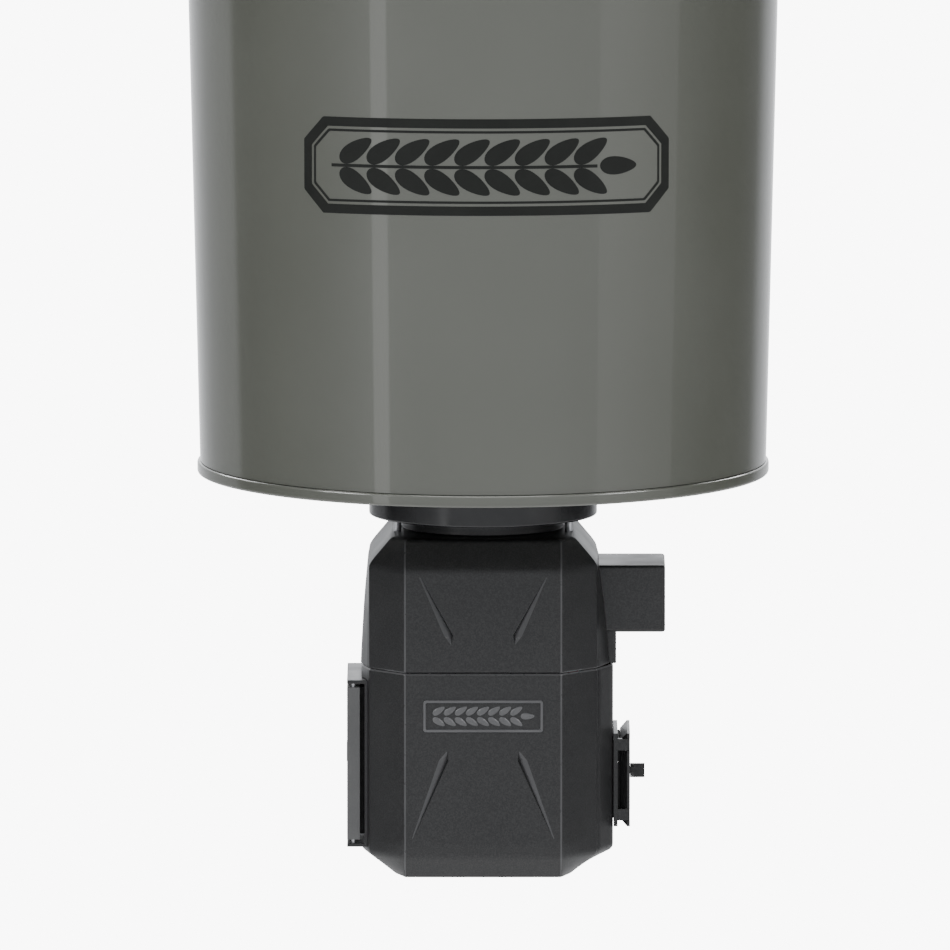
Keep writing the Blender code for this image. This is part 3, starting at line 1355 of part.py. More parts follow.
def carry_all():
    """Every moving body hangs on an empty that sits on its joint's axis."""
    parts = [obj.name for obj in MODEL.objects]
    hopper = pivot("hopper_pivot", (0, 0, PIVOT_Z))
    carry(hopper, [name for name in parts if name.startswith(HOPPER_STARTS)])
    carry(pivot("lid_pivot", (0, 0, RIM_Z), hopper), LID_PARTS)
    kit = pivot("kit_pivot", (0, 0, flange_lug_top()), hopper)
    carry(pivot("spinner_pivot", (0, 0, unit_z(SPINNER_Z)), kit), SPINNER_PARTS)
    x, y = hinge_place()
    door = pivot("battery_door_pivot", (x, y, latch_z()), kit)
    carry(door, BATTERY_DOOR_PARTS)
    latch = (-BATTERY_DOOR_FACE + SKIN, latch_pad_y(), latch_z())
    carry(pivot("battery_latch_pivot", latch, door), ["battery_latch"])
    x, y = timer_pin_place()
    door = pivot("timer_door_pivot", (x, y, unit_z(TIMER_CENTRE_Z)), kit)
    carry(door, ["timer_door"])
    knob = (TIMER_FACE, KNOB_Y, unit_z(TIMER_CENTRE_Z))
    carry(pivot("timer_knob_pivot", knob, door), ["timer_knob"])
    for name, (y, z) in button_places().items():
        carry(pivot(f"{name}_pivot", (RIGHT_FACE, y, z), kit), [name])
    loose = [name for name in parts if bpy.data.objects[name].parent is None]
    carry(kit, [name for name in loose if name != "bail_wire"])


make_pail()
make_outlet_flange()
make_collar()
make_posts()
make_upper_housing()
make_lower_housing()
make_housing_screws()
make_base_pad()
make_throat()
make_chute()
make_deck()
make_motor()
make_shroud()
make_spinner()
make_battery()
make_battery_tray()
make_battery_door_parts()
make_timer_door_parts()
make_timer()
make_battery_leads()
make_motor_leads()
carry_all()
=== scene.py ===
# %% [markdown]
# # A hanging spin cast feeder
#
# A steel feed pail hangs by its bail. Under it, a plastic casting unit twists on to the pail's
# outlet: feed drops through a throat on to a finned spinner, which throws it out of a side
# chute. One side of the unit has a battery door and the other a timer door.
#
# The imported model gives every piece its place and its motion. This lesson makes the surfaces:
# each visible shell is worked out again as a fine grid, and every finish is built from nodes.

import json
import math

import bmesh
import bpy
import numpy as np
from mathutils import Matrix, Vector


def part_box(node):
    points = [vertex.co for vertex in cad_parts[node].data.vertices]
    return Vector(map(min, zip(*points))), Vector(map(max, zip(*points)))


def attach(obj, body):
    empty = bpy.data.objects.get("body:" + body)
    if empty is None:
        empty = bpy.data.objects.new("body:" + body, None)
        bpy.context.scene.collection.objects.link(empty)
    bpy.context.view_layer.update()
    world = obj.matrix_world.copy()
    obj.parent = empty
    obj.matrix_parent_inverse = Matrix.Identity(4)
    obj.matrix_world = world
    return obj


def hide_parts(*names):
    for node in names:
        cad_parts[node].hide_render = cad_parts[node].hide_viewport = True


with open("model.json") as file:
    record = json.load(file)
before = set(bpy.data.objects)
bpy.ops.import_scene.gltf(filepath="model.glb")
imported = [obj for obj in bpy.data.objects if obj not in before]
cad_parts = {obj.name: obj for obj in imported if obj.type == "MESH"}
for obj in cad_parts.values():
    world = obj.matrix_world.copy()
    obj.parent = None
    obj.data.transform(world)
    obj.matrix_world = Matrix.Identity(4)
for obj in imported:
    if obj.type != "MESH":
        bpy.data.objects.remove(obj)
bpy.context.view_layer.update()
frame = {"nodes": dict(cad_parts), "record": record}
MM = 0.001

# %% [markdown]
# ## Heights to work from
#
# Nothing is placed by eye. The pail's foot, its rim and the pivots are read from the packed
# nodes, and heights in the casting unit are counted from the pail's foot.

# %% Read the driving places
PAIL_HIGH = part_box("hopper_shell")[1]
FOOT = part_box("hopper_bottom")[0].z
RIM = PAIL_HIGH.z
UNIT_LOW, UNIT_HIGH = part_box("lower_housing")
PARTING = (UNIT_HIGH.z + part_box("upper_housing")[0].z) / 2
print(f"foot {FOOT:.4f}, rim {RIM:.4f}, parting line {PARTING:.4f} m")


def level(height):
    """World height of a height in millimetres measured from the pail's foot."""
    return FOOT + height * MM


# %% [markdown]
# ## A camera far away
#
# A long lens from twelve metres keeps the tall pail's sides from leaning. The view leaves out the
# pail's top, so that the casting unit is large, and the camera looks slightly down. A nearer
# camera would show more of the pail's underside and less of the unit's front.

# %% Set up the camera
CAMERA_DISTANCE = 12.0
CAMERA_TILT = math.radians(7.5)
VIEW_WIDTH = 0.494
AIM = (-0.0042, 0.0, FOOT - 0.0023)

lens = bpy.data.cameras.new("camera")
lens.lens = 36.0 * CAMERA_DISTANCE / VIEW_WIDTH
lens.clip_end = 100.0
camera = bpy.data.objects.new("camera", lens)
bpy.context.scene.collection.objects.link(camera)
camera.location = (
    AIM[0],
    AIM[1] - CAMERA_DISTANCE * math.cos(CAMERA_TILT),
    AIM[2] + CAMERA_DISTANCE * math.sin(CAMERA_TILT),
)
camera.rotation_euler = (math.pi / 2 - CAMERA_TILT, 0.0, 0.0)
bpy.context.scene.camera = camera
print(f"lens {lens.lens:.0f} mm")

# %% [markdown]
# ## A studio of soft light
#
# Glossy paint shows its room more than its colour. The room could be an image of a studio, but a
# few bands of brightness round the horizon say the same and can be read. This one is a bright
# tent with two darker bands to the left and right, which draw the dark strips near the pail's
# sides. The bands are in the world's light only, so the background stays plain.


# %% Light the world
def world_light():
    """Light by direction: a bright tent, dimmer towards both sides, dimmest below."""
    world = bpy.data.worlds.new("tent")
    bpy.context.scene.world = world
    world.use_nodes = True
    tree = world.node_tree
    tree.nodes.clear()
    place = tree.nodes.new("ShaderNodeTexCoord")
    split = tree.nodes.new("ShaderNodeSeparateXYZ")
    turn = tree.nodes.new("ShaderNodeMath")
    turn.operation = "ARCTAN2"
    around = tree.nodes.new("ShaderNodeMapRange")
    around.inputs["From Min"].default_value = -math.pi
    around.inputs["From Max"].default_value = math.pi
    bands = tree.nodes.new("ShaderNodeValToRGB")
    height = tree.nodes.new("ShaderNodeValToRGB")
    lift = tree.nodes.new("ShaderNodeMapRange")
    lift.inputs["From Min"].default_value = -1.0
    times = tree.nodes.new("ShaderNodeMix")
    times.data_type = "RGBA"
    times.blend_type = "MULTIPLY"
    times.inputs["Factor"].default_value = 1.0
    tent = tree.nodes.new("ShaderNodeBackground")
    plain = tree.nodes.new("ShaderNodeBackground")
    plain.inputs["Color"].default_value = (1.0, 1.0, 1.0, 1.0)
    plain.inputs["Strength"].default_value = 9.0
    ray = tree.nodes.new("ShaderNodeLightPath")
    choose = tree.nodes.new("ShaderNodeMixShader")
    out = tree.nodes.new("ShaderNodeOutputWorld")
    link = tree.links.new
    link(place.outputs["Generated"], split.inputs[0])
    link(split.outputs["X"], turn.inputs[0])
    link(split.outputs["Y"], turn.inputs[1])
    link(turn.outputs[0], around.inputs["Value"])
    link(around.outputs[0], bands.inputs[0])
    link(split.outputs["Z"], lift.inputs["Value"])
    link(lift.outputs[0], height.inputs[0])
    link(bands.outputs[0], times.inputs[6])
    link(height.outputs[0], times.inputs[7])
    link(times.outputs[2], tent.inputs["Color"])
    link(ray.outputs["Is Camera Ray"], choose.inputs[0])
    link(tent.outputs[0], choose.inputs[1])
    link(plain.outputs[0], choose.inputs[2])
    link(choose.outputs[0], out.inputs[0])
    set_stops(bands, BAND_STOPS)
    set_stops(height, HEIGHT_STOPS)


def set_stops(ramp, stops):
    """A colour ramp's stops as (place, red, green, blue)."""
    points = ramp.color_ramp.elements
    while len(points) > 1:
        points.remove(points[-1])
    points[0].position = stops[0][0]
    points[0].color = (*stops[0][1:], 1.0)
    for place, *colour in stops[1:]:
        points.new(place).color = (*colour, 1.0)


# Degrees round from the camera's side to the back, with the brightness there.
FRONT_BANDS = [(0, 1.0), (30, 1.0), (50, 0.8), (70, 0.42), (92, 0.2)]
LEFT_BANDS = FRONT_BANDS + [
    (106, 0.06), (115, 0.04), (119, 0.64), (130, 0.55), (142, 0.56), (151, 0.75), (163, 1.22),
    (180, 2.5),
]
RIGHT_BANDS = FRONT_BANDS + [(106, 0.08), (124, 0.05), (138, 0.12), (148, 0.62), (163, 1.15)]


def cool(value):
    """A brightness as a slightly blue white."""
    return value * 0.98, value, value * 1.03


BAND_STOPS = [(degrees / 360, *cool(value)) for degrees, value in LEFT_BANDS]
BAND_STOPS += [(1 - degrees / 360, *cool(value)) for degrees, value in RIGHT_BANDS[::-1]]
HEIGHT_STOPS = [(0.0, 0.75, 0.75, 0.75), (0.5, 0.95, 0.95, 0.95), (1.0, 1.0, 1.0, 1.0)]
world_light()
print(f"world: {len(BAND_STOPS)} bands")

# %% [markdown]
# ## Soft boxes
#
# The bands shape reflections, but they cast hardly any shadow. Rectangular area lights do, and
# each has one job: a narrow strip that draws the bright line down the pail, a wide fill, a large
# panel overhead, two rim lights behind and two for the housing's shoulders.


# %% Hang the soft boxes
def soft_box(name, place, size, power, aim):
    """A rectangular area light, turned to face a point."""
    data = bpy.data.lights.new(name, "AREA")
    data.shape = "RECTANGLE"
    data.size, data.size_y = size
    data.energy = power
    lamp = bpy.data.objects.new(name, data)
    bpy.context.scene.collection.objects.link(lamp)
    lamp.location = place
    across, along, up = np.array(aim) - np.array(place)
    tilt = math.pi / 2 + math.atan2(up, math.hypot(across, along))
    lamp.rotation_euler = (tilt, 0.0, math.atan2(along, across) - math.pi / 2)


MIDDLE = (0.0, 0.0, FOOT)
soft_box("key_light", (-1.8, -2.1, FOOT + 0.25), (0.32, 2.8), 3.6, MIDDLE)
soft_box("fill_light", (2.4, -1.2, FOOT + 0.5), (1.8, 2.4), 4.5, MIDDLE)
soft_box("top_light", (0.0, -0.3, FOOT + 2.6), (1.6, 1.6), 40.0, MIDDLE)
soft_box("left_rim_light", (-1.5, 2.1, FOOT + 1.7), (0.7, 1.1), 25.0, MIDDLE)
soft_box("right_rim_light", (1.5, 2.1, FOOT + 1.7), (0.7, 1.1), 25.0, MIDDLE)
soft_box("left_shoulder_light", (-1.9, -0.9, FOOT + 1.5), (0.8, 0.8), 34.0, MIDDLE)
soft_box("right_shoulder_light", (1.9, -0.9, FOOT + 1.5), (0.8, 0.8), 30.0, MIDDLE)
print("soft boxes:", sorted(lamp.name for lamp in bpy.data.lights))

# %% [markdown]
# ## The floor
#
# One large pale sheet, well below the feeder, because the feeder hangs. A curved backdrop would
# hide the horizon too, but it would also show in the pail's sides. This floor is as white as the
# background to the eye, and only an ordinary pale floor to the light.

# %% Lay the floor
FLOOR_HALF = 4.2
FLOOR_DROP = 0.9


def lay_floor():
    """A flat square with a pale finish."""
    half, z = FLOOR_HALF, UNIT_LOW.z - FLOOR_DROP
    mesh = bpy.data.meshes.new("floor")
    corners = [(-half, -half, z), (half, -half, z), (half, half, z), (-half, half, z)]
    mesh.from_pydata(corners, [], [(0, 1, 2, 3)])
    floor = bpy.data.objects.new("floor", mesh)
    bpy.context.scene.collection.objects.link(floor)
    finish = bpy.data.materials.new("pale_floor")
    finish.use_nodes = True
    shader = finish.node_tree.nodes["Principled BSDF"]
    shader.inputs["Base Color"].default_value = (0.9, 0.9, 0.9, 1.0)
    shader.inputs["Roughness"].default_value = 0.9
    shader.inputs["Emission Color"].default_value = (1.0, 1.0, 1.0, 1.0)
    seen = finish.node_tree.nodes.new("ShaderNodeLightPath")
    brighten = finish.node_tree.nodes.new("ShaderNodeMath")
    brighten.operation = "MULTIPLY"
    brighten.inputs[1].default_value = 10.0
    finish.node_tree.links.new(seen.outputs["Is Camera Ray"], brighten.inputs[0])
    finish.node_tree.links.new(brighten.outputs[0], shader.inputs["Emission Strength"])
    mesh.materials.append(finish)


lay_floor()
print(f"floor {FLOOR_DROP} m below the casting unit")

# %% [markdown]
# ## Finishes from nodes
#
# Every finish starts from a small kit: a noise that reads the piece's own coordinates, a range
# that turns it into a roughness or a colour, and a bump for the grain. Painted textures could
# hold the same, but nodes stay sharp in a close view and need no unwrapping.


# %% Make a small kit of nodes
class Finish:
    """One material, with helpers that add noise, ranges, mixes and bumps to its shader."""

    def __init__(self, name, colour, roughness, metallic=0.0):
        """A new material whose shader starts from these plain values."""
        self.material = bpy.data.materials.new(name)
        self.material.use_nodes = True
        self.tree = self.material.node_tree
        self.shader = self.tree.nodes["Principled BSDF"]
        self.shader.inputs["Base Color"].default_value = (*colour, 1.0)
        self.shader.inputs["Roughness"].default_value = roughness
        self.shader.inputs["Metallic"].default_value = metallic
        self.coords = self.tree.nodes.new("ShaderNodeTexCoord").outputs["Object"]
        self.last_bump = None

    def stretched(self, scale):
        """The piece's coordinates, stretched by a factor along each axis."""
        node = self.tree.nodes.new("ShaderNodeMapping")
        node.inputs["Scale"].default_value = scale
        self.tree.links.new(self.coords, node.inputs["Vector"])
        return node.outputs["Vector"]

    def noise(self, per_metre, detail=3.0, rough=0.5, coords=None):
        """A cloud from 0 to 1 with so many lumps to the metre."""
        node = self.tree.nodes.new("ShaderNodeTexNoise")
        node.inputs["Scale"].default_value = per_metre
        node.inputs["Detail"].default_value = detail
        node.inputs["Roughness"].default_value = rough
        self.tree.links.new(coords or self.coords, node.inputs["Vector"])
        return node.outputs["Fac"]

    def cells(self, per_metre):
        """Patches of random value, like cobbles, with so many to the metre."""
        node = self.tree.nodes.new("ShaderNodeTexVoronoi")
        node.inputs["Scale"].default_value = per_metre
        self.tree.links.new(self.coords, node.inputs["Vector"])
        return node.outputs["Color"]

    def spread(self, value, low, high, start=0.3, end=0.7):
        """Maps a noise from start..end to low..high."""
        node = self.tree.nodes.new("ShaderNodeMapRange")
        self.tree.links.new(value, node.inputs["Value"])
        node.inputs["From Min"].default_value = start
        node.inputs["From Max"].default_value = end
        node.inputs["To Min"].default_value = low
        node.inputs["To Max"].default_value = high
        return node.outputs["Result"]

    def colours(self, value, first, second):
        """Base colour between two colours, by a value from 0 to 1."""
        node = self.tree.nodes.new("ShaderNodeMix")
        node.data_type = "RGBA"
        self.tree.links.new(value, node.inputs["Factor"])
        node.inputs[6].default_value = (*first, 1.0)
        node.inputs[7].default_value = (*second, 1.0)
        self.tree.links.new(node.outputs[2], self.shader.inputs["Base Color"])
        return node

    def roughness(self, value):
        """Lets a value drive the roughness."""
        self.tree.links.new(value, self.shader.inputs["Roughness"])

    def bump(self, value, depth, strength=1.0):
        """Adds a height field in metres; several bumps are chained."""
        node = self.tree.nodes.new("ShaderNodeBump")
        node.inputs["Distance"].default_value = depth
        node.inputs["Strength"].default_value = strength
        self.tree.links.new(value, node.inputs["Height"])
        if self.last_bump:
            self.tree.links.new(self.last_bump, node.inputs["Normal"])
        self.last_bump = node.outputs["Normal"]
        self.tree.links.new(self.last_bump, self.shader.inputs["Normal"])


# %% [markdown]
# ## Enamel, plastic, zinc and the rest
#
# Real enamel, moulded plastic and zinc differ mostly in how rough they are and at what scale
# they vary: metres for the wave in a sheet, centimetres for clouds in a plated face, and less
# than a millimetre for a spark-eroded mould. Each finish is a few lines on the same kit.


# %% Mix the enamel, plastics and zinc
def make_enamel():
    """Olive grey enamel: a smooth coat over sheet that isn't quite flat from side to side."""
    made = Finish("olive_enamel", (0.078, 0.082, 0.07), 0.3)
    made.shader.inputs["Coat Weight"].default_value = 0.9
    made.shader.inputs["Coat Roughness"].default_value = 0.05
    patch = made.noise(12.0, 1.0)
    made.colours(made.spread(patch, 0.0, 1.0), (0.074, 0.077, 0.063), (0.081, 0.084, 0.07))
    made.roughness(made.spread(made.noise(40.0, 2.0), 0.285, 0.315))
    made.bump(made.noise(26.0, 0.0, coords=made.stretched((1.0, 1.0, 0.1))), 0.0012, 0.45)
    return made.material


def make_shell_plastic():
    """Injection moulded black plastic: a spark texture that glints in fine specks."""
    made = Finish("moulded_black", (0.013, 0.013, 0.0135), 0.38)
    specks = made.spread(made.noise(1500.0, 2.0, 0.7), 0.0, 1.0, 0.4, 0.68)
    made.colours(specks, (0.008, 0.008, 0.0085), (0.024, 0.024, 0.0245))
    cloud = made.spread(made.noise(30.0, 5.0, 0.6), 0.3, 0.42)
    made.roughness(cloud)
    made.bump(made.noise(1300.0, 3.0, 0.7), 0.00005, 0.5)
    made.bump(made.noise(30.0, 1.0), 0.0002, 0.2)
    return made.material


def make_plain(name, colour, roughness, variation, grain, depth):
    """A moulded or coated finish: one colour that varies a little, with its own grain."""
    made = Finish(name, colour, roughness)
    darker = tuple(c * (1 - variation) for c in colour)
    lighter = tuple(c * (1 + variation) for c in colour)
    made.colours(made.spread(made.noise(60.0, 4.0), 0.0, 1.0), darker, lighter)
    made.roughness(made.spread(made.noise(200.0, 4.0), roughness * 0.85, roughness * 1.15))
    made.bump(made.noise(grain, 2.0), depth, 0.5)
    return made.material


def make_zinc():
    """Bright zinc plate: a metal with a faint blue cast, fine draw lines and dull patches."""
    made = Finish("zinc_plate", (0.62, 0.63, 0.64), 0.3, 1.0)
    dull = made.spread(made.noise(90.0, 5.0, 0.6), 0.0, 1.0)
    made.colours(dull, (0.66, 0.67, 0.69), (0.5, 0.5, 0.5))
    made.roughness(made.spread(made.noise(160.0, 5.0), 0.28, 0.42))
    made.bump(made.noise(700.0, 3.0, coords=made.stretched((1.0, 1.0, 0.08))), 0.00002, 0.5)
    return made.material


ENAMEL = make_enamel()
SHELL_BLACK = make_shell_plastic()
INNER_BLACK = make_plain("inner_black", (0.018, 0.018, 0.018), 0.55, 0.3, 1800.0, 0.00005)
RUBBER = make_plain("soft_rubber", (0.012, 0.012, 0.012), 0.8, 0.3, 1200.0, 0.00008)
ZINC = make_zinc()
CASE_GREY = make_plain("case_grey", (0.055, 0.056, 0.06), 0.5, 0.15, 1500.0, 0.00005)
PRINT_BLACK = make_plain("printed_black", (0.006, 0.007, 0.0055), 0.5, 0.2, 900.0, 0.00001)
PRINT_SHADER = PRINT_BLACK.node_tree.nodes["Principled BSDF"]
PRINT_SHADER.inputs["Specular IOR Level"].default_value = 0.25
BUTTON_GREY = make_plain("button_grey", (0.2, 0.2, 0.21), 0.6, 0.1, 2000.0, 0.00004)
RED_COVER = make_plain("red_cover", (0.42, 0.018, 0.014), 0.45, 0.15, 900.0, 0.00002)
BLACK_COVER = make_plain("black_cover", (0.014, 0.014, 0.014), 0.45, 0.2, 900.0, 0.00002)
print("plain finishes:", len(bpy.data.materials))


# %% Mix the board's and the screen's finishes
def make_board():
    """Green solder mask over tracks, which show as a faint relief of square cells."""
    made = Finish("solder_mask", (0.012, 0.09, 0.03), 0.35)
    cells = made.cells(420.0)
    made.colours(made.spread(cells, 0.0, 1.0), (0.008, 0.07, 0.022), (0.02, 0.13, 0.045))
    made.bump(cells, 0.00005, 0.4)
    return made.material


def make_screen():
    """Grey green display glass with a faint cloud under a smooth face."""
    made = Finish("display_glass", (0.2, 0.23, 0.18), 0.08)
    made.colours(made.spread(made.noise(70.0), 0.0, 1.0), (0.17, 0.2, 0.155), (0.23, 0.26, 0.2))
    made.shader.inputs["Coat Weight"].default_value = 0.8
    return made.material


BOARD_GREEN = make_board()
SCREEN = make_screen()
print("finishes:", len(bpy.data.materials))

# %% [markdown]
# ## Surfaces from grids
#
# A turned part, a lofted housing and a bent wire are all the same thing to a mesh: a grid of
# points with quads between neighbours. They could be modelled by hand or with Screw and Curve
# objects, but then each would need its own settings. One function turns a grid into a mesh, and
# each piece only has to say where its points are.


# %% Turn a grid of points into a piece
def grid_mesh(name, points, around=False, along=False, keep=None):
    """Quads between neighbouring points (rows, columns, 3).

    around joins the last column to the first, along joins the last row to the first, and keep
    is a mask of quads, for a surface with openings.
    """
    rows, columns = points.shape[:2]
    ids = np.arange(rows * columns).reshape(rows, columns)
    if around:
        ids = np.hstack([ids, ids[:, :1]])
    if along:
        ids = np.vstack([ids, ids[:1]])
    quads = np.stack([ids[:-1, :-1], ids[:-1, 1:], ids[1:, 1:], ids[1:, :-1]], axis=-1)
    quads = quads.reshape(-1, 4) if keep is None else quads[keep]
    mesh = bpy.data.meshes.new(name)
    mesh.from_pydata(points.reshape(-1, 3), [], quads)
    return mend(mesh)


def mend(mesh, merge=1e-6):
    """Merges doubled points, drops loose ones, and points the faces outwards."""
    work = bmesh.new()
    work.from_mesh(mesh)
    bmesh.ops.remove_doubles(work, verts=work.verts, dist=merge)
    bmesh.ops.dissolve_degenerate(work, edges=work.edges, dist=merge)
    loose = [v for v in work.verts if not v.link_faces]
    bmesh.ops.delete(work, geom=loose, context="VERTS")
    bmesh.ops.recalc_face_normals(work, faces=work.faces)
    work.to_mesh(mesh)
    work.free()
    return mesh


def new_piece(mesh):
    """An object at the origin for a mesh whose points are already in place."""
    obj = bpy.data.objects.new(mesh.name, mesh)
    bpy.context.scene.collection.objects.link(obj)
    return obj


def settle(obj):
    """Applies an object's modifiers, so that its mesh is final."""
    bpy.context.view_layer.update()
    depsgraph = bpy.context.evaluated_depsgraph_get()
    final = bpy.data.meshes.new_from_object(obj.evaluated_get(depsgraph))
    final.name = obj.name
    obj.modifiers.clear()
    obj.data = final
    return obj


def thicken(obj, wall):
    """Gives an open surface its wall, inwards, with closed rims."""
    change = obj.modifiers.new("wall", "SOLIDIFY")
    change.thickness = wall
    change.offset = -1.0
    change.use_even_offset = True
    return settle(obj)


def complete(obj, body, material, sharp=30.0):
    """Shades a piece, gives it its finish and hangs it on its body.

    Edges above the sharp angle stay crisp; with None the piece already carries its own shading.
    """
    obj.data.materials.clear()
    obj.data.materials.append(material)
    obj.data.shade_smooth()
    if sharp:
        obj.data.set_sharp_from_angle(angle=math.radians(sharp))
    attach(obj, body)
    print(f"{obj.name}: {len(obj.data.polygons)} faces on {body}")
    return obj


# %% [markdown]
# ## Soft corners
#
# Nothing pressed or moulded has a sharp corner, and a rounded one catches a thin line of light.
# A Bevel could round the finished mesh. Here the outline is rounded first, before it is turned
# or carried, because that gives even rows of faces and an exact radius.


# %% Soften corners and turn outlines
def soften(points, reach, steps=5):
    """Each inner corner c of a polyline becomes the curve (1-t)^2 a + 2t(1-t) c + t^2 b.

    a and b lie reach before and after the corner, at most half way to the next one.
    """
    p = np.asarray(points, float)
    reach = np.broadcast_to(np.asarray(reach, float), len(p) - 2)[:, None]

    def back(corner, other):
        run = other - corner
        length = np.linalg.norm(run, axis=1, keepdims=True)
        return corner + run * np.minimum(reach / np.maximum(length, 1e-12), 0.499)

    a, c, b = back(p[1:-1], p[:-2])[:, None], p[1:-1, None], back(p[1:-1], p[2:])[:, None]
    t = np.linspace(0.0, 1.0, steps)[None, :, None]
    curve = (1 - t) ** 2 * a + 2 * t * (1 - t) * c + t**2 * b
    return np.vstack([p[:1], curve.reshape(-1, p.shape[1]), p[-1:]])


def soften_loop(points, reach, steps=5):
    """The same for a closed outline."""
    p = np.asarray(points, float)
    wrapped = np.vstack([p[-1:], p, p[:1]])
    return soften(wrapped, reach, steps)[1:-1]


def turned_points(profile, steps=180, axis="Z", centre=(0.0, 0.0, 0.0)):
    """Points of a profile (radius, height) turned about an axis: r cos a, r sin a, h."""
    profile = np.asarray(profile, float)
    angle = np.linspace(0.0, 2 * np.pi, steps, endpoint=False)[None, :]
    r, h = profile[:, :1], profile[:, 1:2]
    u, v, w = r * np.cos(angle), r * np.sin(angle), h + 0 * angle
    order = {"Z": (u, v, w), "X": (w, u, v), "Y": (u, -w, v)}[axis]
    return np.stack(order, axis=-1) + np.asarray(centre, float)


def turned_piece(name, profile, steps=180, axis="Z", centre=(0.0, 0.0, 0.0)):
    """A closed profile, or one that starts and ends on the axis, turned into a solid."""
    profile = np.asarray(profile, float)
    open_ended = abs(profile[0, 0]) < 1e-9 and abs(profile[-1, 0]) < 1e-9
    points = turned_points(profile, steps, axis, centre)
    return new_piece(grid_mesh(name, points, around=True, along=not open_ended))


# %% [markdown]
# ## The pail
#
# The wall is sheet steel, rolled into a slightly widening cone and curled over at the rim. It
# could be a cylinder that is scaled at one end and given a Solidify, but the bead would have to
# be added to it. One closed profile holds the bead, both faces and the foot, and is turned.

# %% Turn the pail
WALL = 0.8 * MM
CURL = 3.0 * MM
CHIME_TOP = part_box("hopper_bottom")[1].z
CHIME_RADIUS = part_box("hopper_bottom")[1].x
CURL_X = PAIL_HIGH.x - CURL
TOP_RADIUS = CURL_X - CURL + WALL
BASE_RADIUS = CHIME_RADIUS - 1.6 * MM


def pail_radius(z):
    """Radius of the pail's outer face: it grows evenly from foot to rim."""
    share = (z - FOOT) / (RIM - FOOT)
    return BASE_RADIUS + (TOP_RADIUS - BASE_RADIUS) * share


def pail_profile():
    """Bead, then down the outside, and up the inside, back to the bead."""
    low = CHIME_TOP + 0.3 * MM
    turn = np.radians(np.linspace(180.0, -137.0, 28))
    bead = np.column_stack([CURL_X + CURL * np.cos(turn), RIM - CURL + CURL * np.sin(turn)])
    z = np.linspace(RIM - 2 * CURL, low, 90)
    outside = np.column_stack([pail_radius(z), z])
    inside = np.column_stack([pail_radius(z) - WALL, z])[::-1]
    return np.vstack([bead, outside, inside])


pail_wall = turned_piece("pail_wall", pail_profile(), 240)
complete(pail_wall, "hopper", ENAMEL)
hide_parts("hopper_shell")


# %% [markdown]
# ## The pail's bottom
#
# The bottom is a pressed disc, recessed and seamed to the wall by a chime that stands a little
# proud. Only the chime shows from the side: its rounded lower edge carries the bright line under
# the pail. Chime and disc are one pressing, so they are one turned profile.

# %% Turn the chime and the bottom
OUTLET_RADIUS = 40.0 * MM


def bottom_profile():
    """A rounded outer band, the recess under it, and the flat disc with its outlet."""
    floor_low = CHIME_TOP - 1.2 * MM
    out, inner, hole = CHIME_RADIUS, BASE_RADIUS - 3.0 * MM, OUTLET_RADIUS
    outline = [
        (inner, CHIME_TOP),
        (out, CHIME_TOP),
        (out, FOOT),
        (inner, FOOT),
        (inner - 0.6 * MM, floor_low),
        (hole, floor_low),
        (hole, floor_low + WALL),
        (inner - 2.0 * MM, floor_low + WALL),
    ]
    reach = np.array([0.8, 1.5, 1.5, 0.8, 0.8, 0.3, 0.3, 0.8]) * MM
    return soften_loop(outline, reach, 6)


pail_bottom = turned_piece("pail_bottom", bottom_profile(), 240)
complete(pail_bottom, "hopper", ENAMEL)
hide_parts("hopper_bottom")

# %% [markdown]
# ## A printed badge
#
# Feed pails carry a printed panel. This one is a plain long panel with cut corners and an ear of
# grain lying along it. It could be a mask in the paint's nodes, but a thin printed layer keeps
# its edges crisp. The flat drawing is laid on the cone by turning its width into an angle.


# %% Draw grains and panels
def cut_corner_outline(half_width, half_height, cut, gap=0.0):
    """Eight corners of a panel with cut corners, moved outwards by a gap."""
    w, h, c = half_width + gap, half_height + gap, cut + gap * 0.41
    corners = [(-w + c, -h), (w - c, -h), (w, -h + c), (w, h - c), (w - c, h)]
    return np.array([*corners, (-w + c, h), (-w, h - c), (-w, -h + c)])


def divided(outline, spacing):
    """A closed outline with points added along its straight runs."""
    following = np.roll(outline, -1, axis=0)
    pieces = []
    for start, end in zip(outline, following):
        count = max(1, int(np.ceil(np.linalg.norm(end - start) / spacing)))
        share = np.linspace(0.0, 1.0, count, endpoint=False)[:, None]
        pieces.append(start + (end - start) * share)
    return np.vstack(pieces)


def border_strip(half_width, half_height, cut, width, spacing, bow):
    """Grid of a flat ring: its rows run from the inner outline to the outer one."""
    inner = divided(cut_corner_outline(half_width, half_height, cut, -width), spacing)
    outer = divided(cut_corner_outline(half_width, half_height, cut), spacing)
    count = 4 * min(len(inner), len(outer))
    rows = [resample(inner, count), resample(outer, count)]
    return with_bow(np.stack(rows), bow)


def resample(outline, count):
    """A closed outline with a number of points evenly spaced along it."""
    closed = np.vstack([outline, outline[:1]])
    run = np.concatenate([[0.0], np.cumsum(np.linalg.norm(np.diff(closed, axis=0), axis=1))])
    at = np.linspace(0.0, run[-1], count, endpoint=False)
    return np.column_stack([np.interp(at, run, closed[:, 0]), np.interp(at, run, closed[:, 1])])


def with_bow(flat, bow):
    """Bends a flat drawing: a point at x rises by bow times x squared."""
    flat = flat.copy()
    flat[..., 1] += bow * flat[..., 0] ** 2
    return flat


